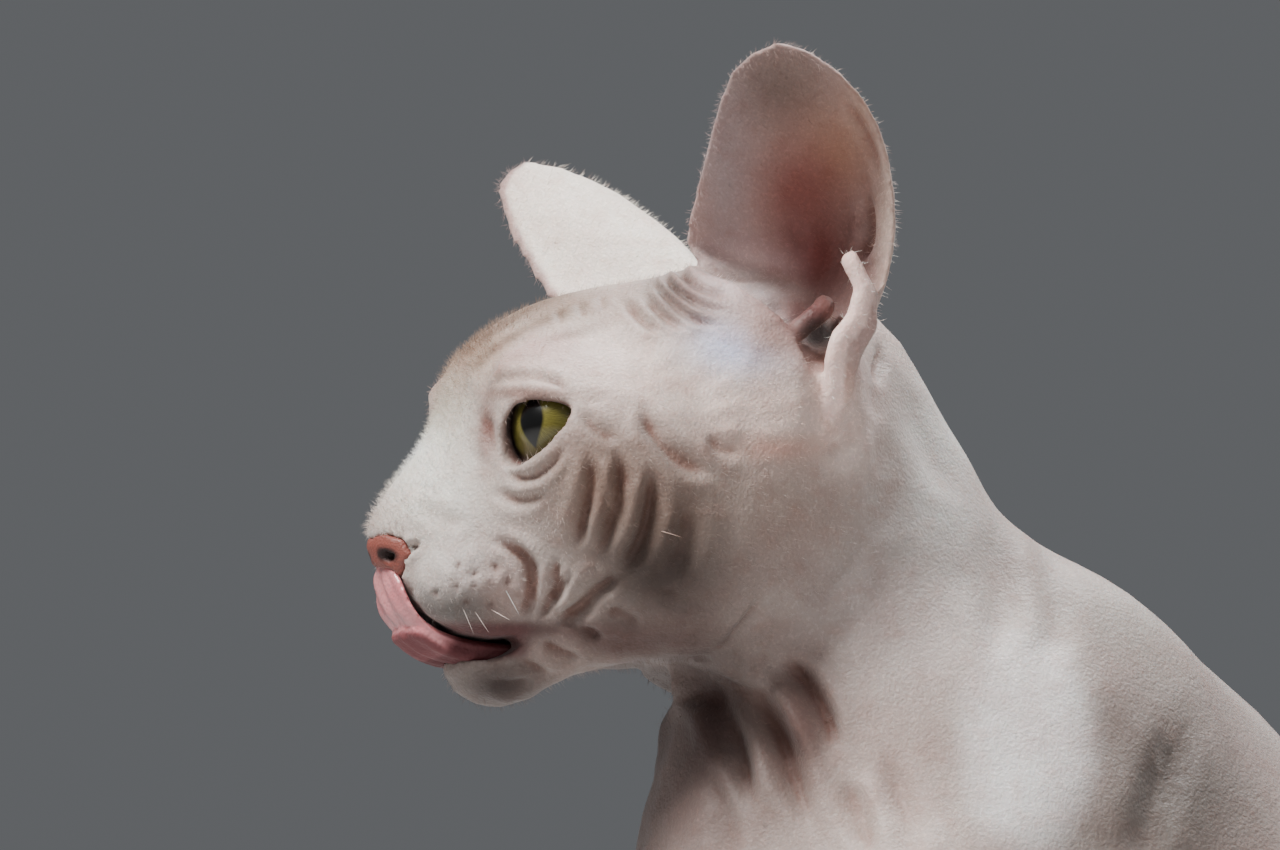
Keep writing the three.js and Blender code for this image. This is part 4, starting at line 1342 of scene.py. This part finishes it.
@dataclass
class Tongue(SoftPart):
    """The tongue, with the groove along its middle and the fold that hangs under its curl."""

    fold: tuple[Point, ...] = ((11, -42.7), (17, -42.6), (22, -41.2), (25.4, -38.8))

    def add_flesh(self, mesh: bpy.types.Mesh) -> None:
        """Adds the lower fold as rows of balls that melt into one."""
        bm = bmesh.new()
        bm.from_mesh(mesh)
        for forward, up in curve_through(self.fold, 5):
            for left in np.linspace(-7.5, 6, 10):
                place = HEAD.point(forward - 0.035 * (left + 1) ** 2, left, up)
                turned = Matrix.Translation(place)
                bmesh.ops.create_icosphere(bm, subdivisions=2, radius=1.7 * MM, matrix=turned)
        bm.to_mesh(mesh)
        bm.free()

    def tones(self, local: np.ndarray) -> np.ndarray:
        """Painted shade inside the mouth and on the lower fold, and paler towards the tip."""
        forward, _, up = local.T
        mouth = 1 - smooth_step(forward + 0.9 * (up - LIPS_UP), 14.5, 21)
        fold = 1 - smooth_step(up - 0.55 * (forward - 24), -40.2, -38.6)
        # Painted shade: the tongue's back inside the mouth and its lower fold under the curl.
        dark = np.maximum(mouth, 0.86 * fold)[:, None]
        return 1 - dark * np.array((0.86, 0.94, 0.93))

    def shape(self, mesh: bpy.types.Mesh) -> None:
        """Presses the middle groove in and lets the edges wave a little."""
        places, normals = places_of(mesh), normals_of(mesh)
        local = HEAD.local(places)
        groove = -0.5 * np.exp(-(((local[:, 1] + 1.2) / 1.3) ** 2))
        wave = 0.18 * np.sin(local[:, 1] * 1.1 + local[:, 2] * 0.6)
        set_places(mesh, places + normals * (groove + wave)[:, None] * MM)


@dataclass
class Claws:
    """The claws' tips at the front of every toe.

    Attributes:
        paws: the middles of the four paws on the floor, forward and left.
        spread: the distance between two toes, in millimetres.
        finish: the claws' material.
    """

    paws: tuple[Point, ...] = ((-56, 25), (-56, -25), (-98, 47), (-98, -47))
    spread: float = 6.2
    finish: PlainFinish = PlainFinish("claw_horn", (0.72, 0.6, 0.5), (0.5, 0.36, 0.28), 0.28)

    def build(self) -> bpy.types.Object:
        """Makes every claw as one short tilted cone."""
        mesh = bpy.data.meshes.new("claws")
        bm = bmesh.new()
        for forward, left in self.paws:
            for toe in range(4):
                aside = toe - 1.5
                reach = 21 - 2.4 * abs(aside) ** 1.6
                across = left + aside * self.spread
                base = HEAD.point(forward + reach + 1.2, across, 5.6 - EYE_HEIGHT)
                made = bmesh.ops.create_cone(
                    bm, cap_ends=True, segments=8, radius1=1.3 * MM, radius2=0.25 * MM, depth=4.2 * MM
                )["verts"]
                tilt = Matrix.Rotation(math.radians(118), 4, "X")
                bmesh.ops.transform(bm, matrix=Matrix.Translation(base) @ tilt, verts=made)
        for face in bm.faces:
            face.smooth = True
        bm.to_mesh(mesh)
        bm.free()
        claws = linked(bpy.data.objects.new("claws", mesh))
        mesh.materials.append(self.finish.material())
        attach(claws, BODY)
        return claws


@dataclass(frozen=True)
class DownFinish:
    """Fine pale hair that takes the tone of the skin under it."""

    name: str = "pale_down"

    def material(self) -> bpy.types.Material:
        """Makes the material."""
        material, bench, shader = new_material(self.name)
        tone = bench.add("ShaderNodeAttribute", {"attribute_name": "skin_tone_and_painted_light"}).outputs["Color"]
        bench.join(tone, shader.inputs["Base Color"])
        shader.inputs["Roughness"].default_value = 0.6
        shader.inputs["Specular IOR Level"].default_value = 0.3
        return material


@dataclass
class Down:
    """The peach fuzz that shows along the face's outline, and the short whiskers.

    Attributes:
        skin: the finished skin that the hairs stand on.
        count: how many hairs there are.
        length: a hair's usual length, in millimetres.
        thick: a hair's radius at its root, in millimetres.
        whisker_length: a broken whisker's length, in millimetres.
        whisker_thick: a whisker's radius at its root, in millimetres.
        seed: the start of the random numbers.
    """

    skin: bpy.types.Object
    count: int = 26_000
    length: float = 1.25
    thick: float = 0.035
    whisker_length: float = 5.5
    whisker_thick: float = 0.13
    seed: int = 7

    def build(self) -> bpy.types.Object:
        """Plants every hair and joins them into one mesh."""
        rng = np.random.default_rng(self.seed)
        mesh = self.skin.data
        places, normals = places_of(mesh), normals_of(mesh)
        local = HEAD.local(places)
        colours = np.zeros(len(places) * 4, np.float32)
        mesh.color_attributes["skin_tone_and_painted_light"].data.foreach_get("color", colours)
        tones = colours.reshape(-1, 4)[:, :3]
        weight = self.cover(local)
        count = self.count
        roots = rng.choice(len(places), count, p=weight / weight.sum())
        lengths = self.length * rng.uniform(0.6, 1.35, count)
        whiskers = self.whiskers(local, normals)
        roots = np.concatenate((roots, whiskers))
        hairs = np.arange(len(roots)) < count
        lengths = np.concatenate((lengths, np.full(len(whiskers), self.whisker_length)))
        radii = np.where(hairs, self.thick, self.whisker_thick)
        start = places[roots] + rng.normal(0, 0.25, (len(roots), 3)) * MM * hairs[:, None]
        lean = normals[roots] + rng.normal(0, 0.22, (len(roots), 3)) + np.array((0, 0.5, -0.25))
        lean /= np.linalg.norm(lean, axis=1)[:, None]
        bright = np.where(hairs, 1.35, 3.0)[:, None]
        shade = np.clip(tones[roots] * bright + 0.04, 0, 0.9)
        hair = self.cones(start, lean, lengths * MM, radii * MM)
        down = linked(bpy.data.objects.new("down", hair))
        set_colours(hair, "skin_tone_and_painted_light", np.repeat(shade, 4, axis=0))
        self.map(hair, HEAD.local(start), normals[roots])
        hair.materials.append(DownFinish().material())
        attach(down, BODY)
        return down

    @staticmethod
    def cover(local: np.ndarray) -> np.ndarray:
        """How thickly each place is covered: most on the nose bridge, brow and ears."""
        forward, aside, up = local[:, 0], np.abs(local[:, 1]), local[:, 2]
        head = smooth_step(forward, -75, -55) * smooth_step(up, -60, -50)
        bridge = smooth_step(forward, 0, 10) * smooth_step(up, -24, -18)
        bridge *= 1 - smooth_step(aside, 8, 14)
        ears = smooth_step(up, 28, 40) * smooth_step(aside, 14, 24)
        mouth = smooth_step(forward, 4, 8) * (1 - smooth_step(np.abs(up - MOUTH_UP), 3, 5))
        nose = smooth_step(forward, 21, 24) * (1 - smooth_step(up, -21, -18.5))
        nose *= 1 - smooth_step(aside, 9, 11)
        bare = np.maximum(mouth, nose)
        return head * (0.35 + 3.0 * bridge + 0.6 * ears) * (1 - bare) + 1e-9

    @staticmethod
    def whiskers(local: np.ndarray, normals: np.ndarray) -> np.ndarray:
        """The places of a few short broken whiskers on both pads and cheeks."""
        flat = HEAD.side_view(local)
        spots = ((-10.6, -33.2), (-7.8, -32.4), (-13, -32.8), (24.6, -18), (-5, -29))
        chosen = []
        for side in Side:
            off = np.where(normals[:, 0] * side.value > 0.3, 0, 1e6)
            for spot in spots:
                chosen.append(int(np.argmin(((flat - np.array(spot)) ** 2).sum(1) + off)))
        return np.array(chosen)

    @staticmethod
    def cones(
        start: np.ndarray, lean: np.ndarray, lengths: np.ndarray, radii: np.ndarray
    ) -> bpy.types.Mesh:
        """One slim closed three-sided cone for each hair.

        Args:
            start: an (n, 3) array of roots.
            lean: which way each hair points.
            lengths: how long each hair is.
            radii: how thick each root is.

        Returns:
            The new mesh.
        """
        across = np.cross(lean, np.array((0.3, 0.1, 0.95)))
        across /= np.linalg.norm(across, axis=1)[:, None]
        aside = np.cross(lean, across)
        points = np.zeros((len(start), 4, 3))
        for corner in range(3):
            angle = 2 * math.pi * corner / 3
            ring = across * math.cos(angle) + aside * math.sin(angle)
            points[:, corner] = start + ring * radii[:, None] - lean * 0.15 * MM
        points[:, 3] = start + lean * lengths[:, None]
        first = np.arange(len(start))[:, None] * 4
        faces = np.concatenate(
            [first + np.array(corners) for corners in ((0, 1, 3), (1, 2, 3), (2, 0, 3), (2, 1, 0))]
        )
        mesh = bpy.data.meshes.new("down")
        mesh.from_pydata(points.reshape(-1, 3).tolist(), [], faces.tolist())
        mesh.update()
        return mesh

    @staticmethod
    def map(mesh: bpy.types.Mesh, local: np.ndarray, normals: np.ndarray) -> None:
        """Maps each hair to a small patch at its root's place on the skin laid out flat.

        The two flanks, and the faces of each that look outwards and inwards, lie side by side.
        """
        flat = HEAD.side_view(local)
        place = np.clip((flat - np.array((-50, -75))) / np.array((150, 165)), 0.01, 0.98)
        left = (local[:, 1] > 0).astype(int)
        outward = (normals[:, 0] * np.sign(local[:, 1]) > 0).astype(int)
        root = (place + np.stack((left, outward), axis=1)) / 2
        corners = np.array(((0, 0), (0.003, 0), (0.0015, 0.003), (0.0015, 0.0015)))
        each = (root[:, None, :] + corners[None]).reshape(-1, 2)
        loops = np.zeros(len(mesh.loops), np.int64)
        mesh.loops.foreach_get("vertex_index", loops)
        mesh.uv_layers.new(name="OFBake").data.foreach_set("uv", each[loops].ravel())


@dataclass
class Studio:
    """The pale floor, the soft lights and the camera with the photograph's framing.

    Attributes:
        distance: how far the camera is from the head, in metres.
        frame_width: what the picture spans at the head, in millimetres.
        aim: the place in the picture's middle, forward, left and up on the head.
    """

    distance: float = 2.0
    frame_width: float = 1280 / 5.2
    aim: Place = (-21.9, 0.0, 3.1)

    def camera(self) -> None:
        """Sets up the camera."""
        data = bpy.data.cameras.new("camera")
        camera = linked(bpy.data.objects.new("camera", data))
        target = HEAD.point(*self.aim)
        turn, tilt = math.radians(90 - HEAD.turn), math.radians(-HEAD.tilt)
        away = Vector(
            (math.sin(turn) * math.cos(tilt), -math.cos(turn) * math.cos(tilt), math.sin(tilt))
        )
        camera.location = target + away * self.distance
        camera.rotation_euler = (-away).to_track_quat("-Z", "Y").to_euler()
        data.sensor_width = 36.0
        data.lens = 36.0 * self.distance / (self.frame_width * MM)
        data.clip_start = 0.05
        data.clip_end = 30.0
        bpy.context.scene.camera = camera

    def light(self, name: str, place: Place, size: float, power: float, tint: Colour) -> None:
        """Adds one soft square light.

        Args:
            name: its name.
            place: its place from the head in metres: right of the view, up, towards the viewer.
            size: the length of its sides.
            power: its power in watts.
            tint: its colour.
        """
        data = bpy.data.lights.new(name, "AREA")
        data.size, data.energy, data.color = size, power, tint
        light = linked(bpy.data.objects.new(name, data))
        turn = math.radians(90 - HEAD.turn)
        right = Vector((math.cos(turn), math.sin(turn), 0))
        near = Vector((math.sin(turn), -math.cos(turn), 0))
        target = HEAD.point(-20, 0, 0)
        light.location = target + right * place[0] + Vector((0, 0, place[1])) + near * place[2]
        light.rotation_euler = (target - light.location).to_track_quat("-Z", "Y").to_euler()

    def floor(self) -> None:
        """Makes the floor."""
        mesh = bpy.data.meshes.new("floor")
        bm = bmesh.new()
        bmesh.ops.create_grid(bm, x_segments=2, y_segments=2, size=6.0)
        bm.to_mesh(mesh)
        bm.free()
        floor = linked(bpy.data.objects.new("floor", mesh))
        material, bench, shader = new_material("pale_floor")
        place = bench.add("ShaderNodeTexCoord").outputs["Object"]
        clouds = bench.add("ShaderNodeTexNoise", Vector=place, Scale=3.0).outputs[0]
        paint = bench.mix(clouds, (0.38, 0.375, 0.37), (0.42, 0.415, 0.41))
        bench.join(paint, shader.inputs["Base Color"])
        shader.inputs["Roughness"].default_value = 0.8
        mesh.materials.append(material)

    def build(self) -> None:
        """Makes the floor, the world's glow, the lights and the camera."""
        self.floor()
        world = bpy.data.worlds.new("studio")
        world.use_nodes = True
        world.node_tree.nodes["Background"].inputs[0].default_value = (0.5, 0.52, 0.55, 1)
        world.node_tree.nodes["Background"].inputs[1].default_value = 0.24
        bpy.context.scene.world = world
        self.light("key", (-0.55, 0.95, 0.5), 0.4, 31.0, (1.0, 0.985, 0.96))
        self.light("top", (0.35, 1.05, -0.3), 0.55, 25.0, (0.97, 0.985, 1.0))
        self.light("fill", (0.6, 0.3, 1.5), 0.9, 5.0, (1.0, 0.97, 0.95))
        self.camera()


FLESH = [
    "head",
    "lower_jaw",
    "ear_left",
    "ear_right",
    "neck",
    "torso",
    "foreleg_left",
    "foreleg_right",
    "hindleg_left",
    "hindleg_right",
    "tail_1",
    "tail_2",
    "tail_3",
]

TONGUE_FINISH = WetFinish("wet_tongue", (0.72, 0.3, 0.31), (0.6, 0.2, 0.22), 0.35, 0.6, 1500.0)
NOSE_FINISH = WetFinish("nose_leather", (0.25, 0.07, 0.052), (0.15, 0.04, 0.03), 0.55, 0.1, 2200.0)


def main() -> None:
    """Builds the whole cat and its studio, in order."""
    logging.basicConfig(level=logging.INFO, format="%(message)s")
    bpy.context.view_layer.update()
    Studio().build()
    grain = skin_grain_group()
    pieces = [Skin(FLESH).build(grain)]
    pieces += [Eye(side).build() for side in Side]
    pieces.append(Tongue("tongue", "tongue_flesh", "tongue", TONGUE_FINISH).build())
    pieces.append(Nose("nose", "nose_pad", "nose_leather", NOSE_FINISH, grow=0.3).build())
    pieces.append(Claws().build())
    pieces.append(Down(pieces[0]).build())
    for piece in pieces:
        LOG.info("%s: %d faces", piece.name, len(piece.data.polygons))


if __name__ == "__main__":
    main()
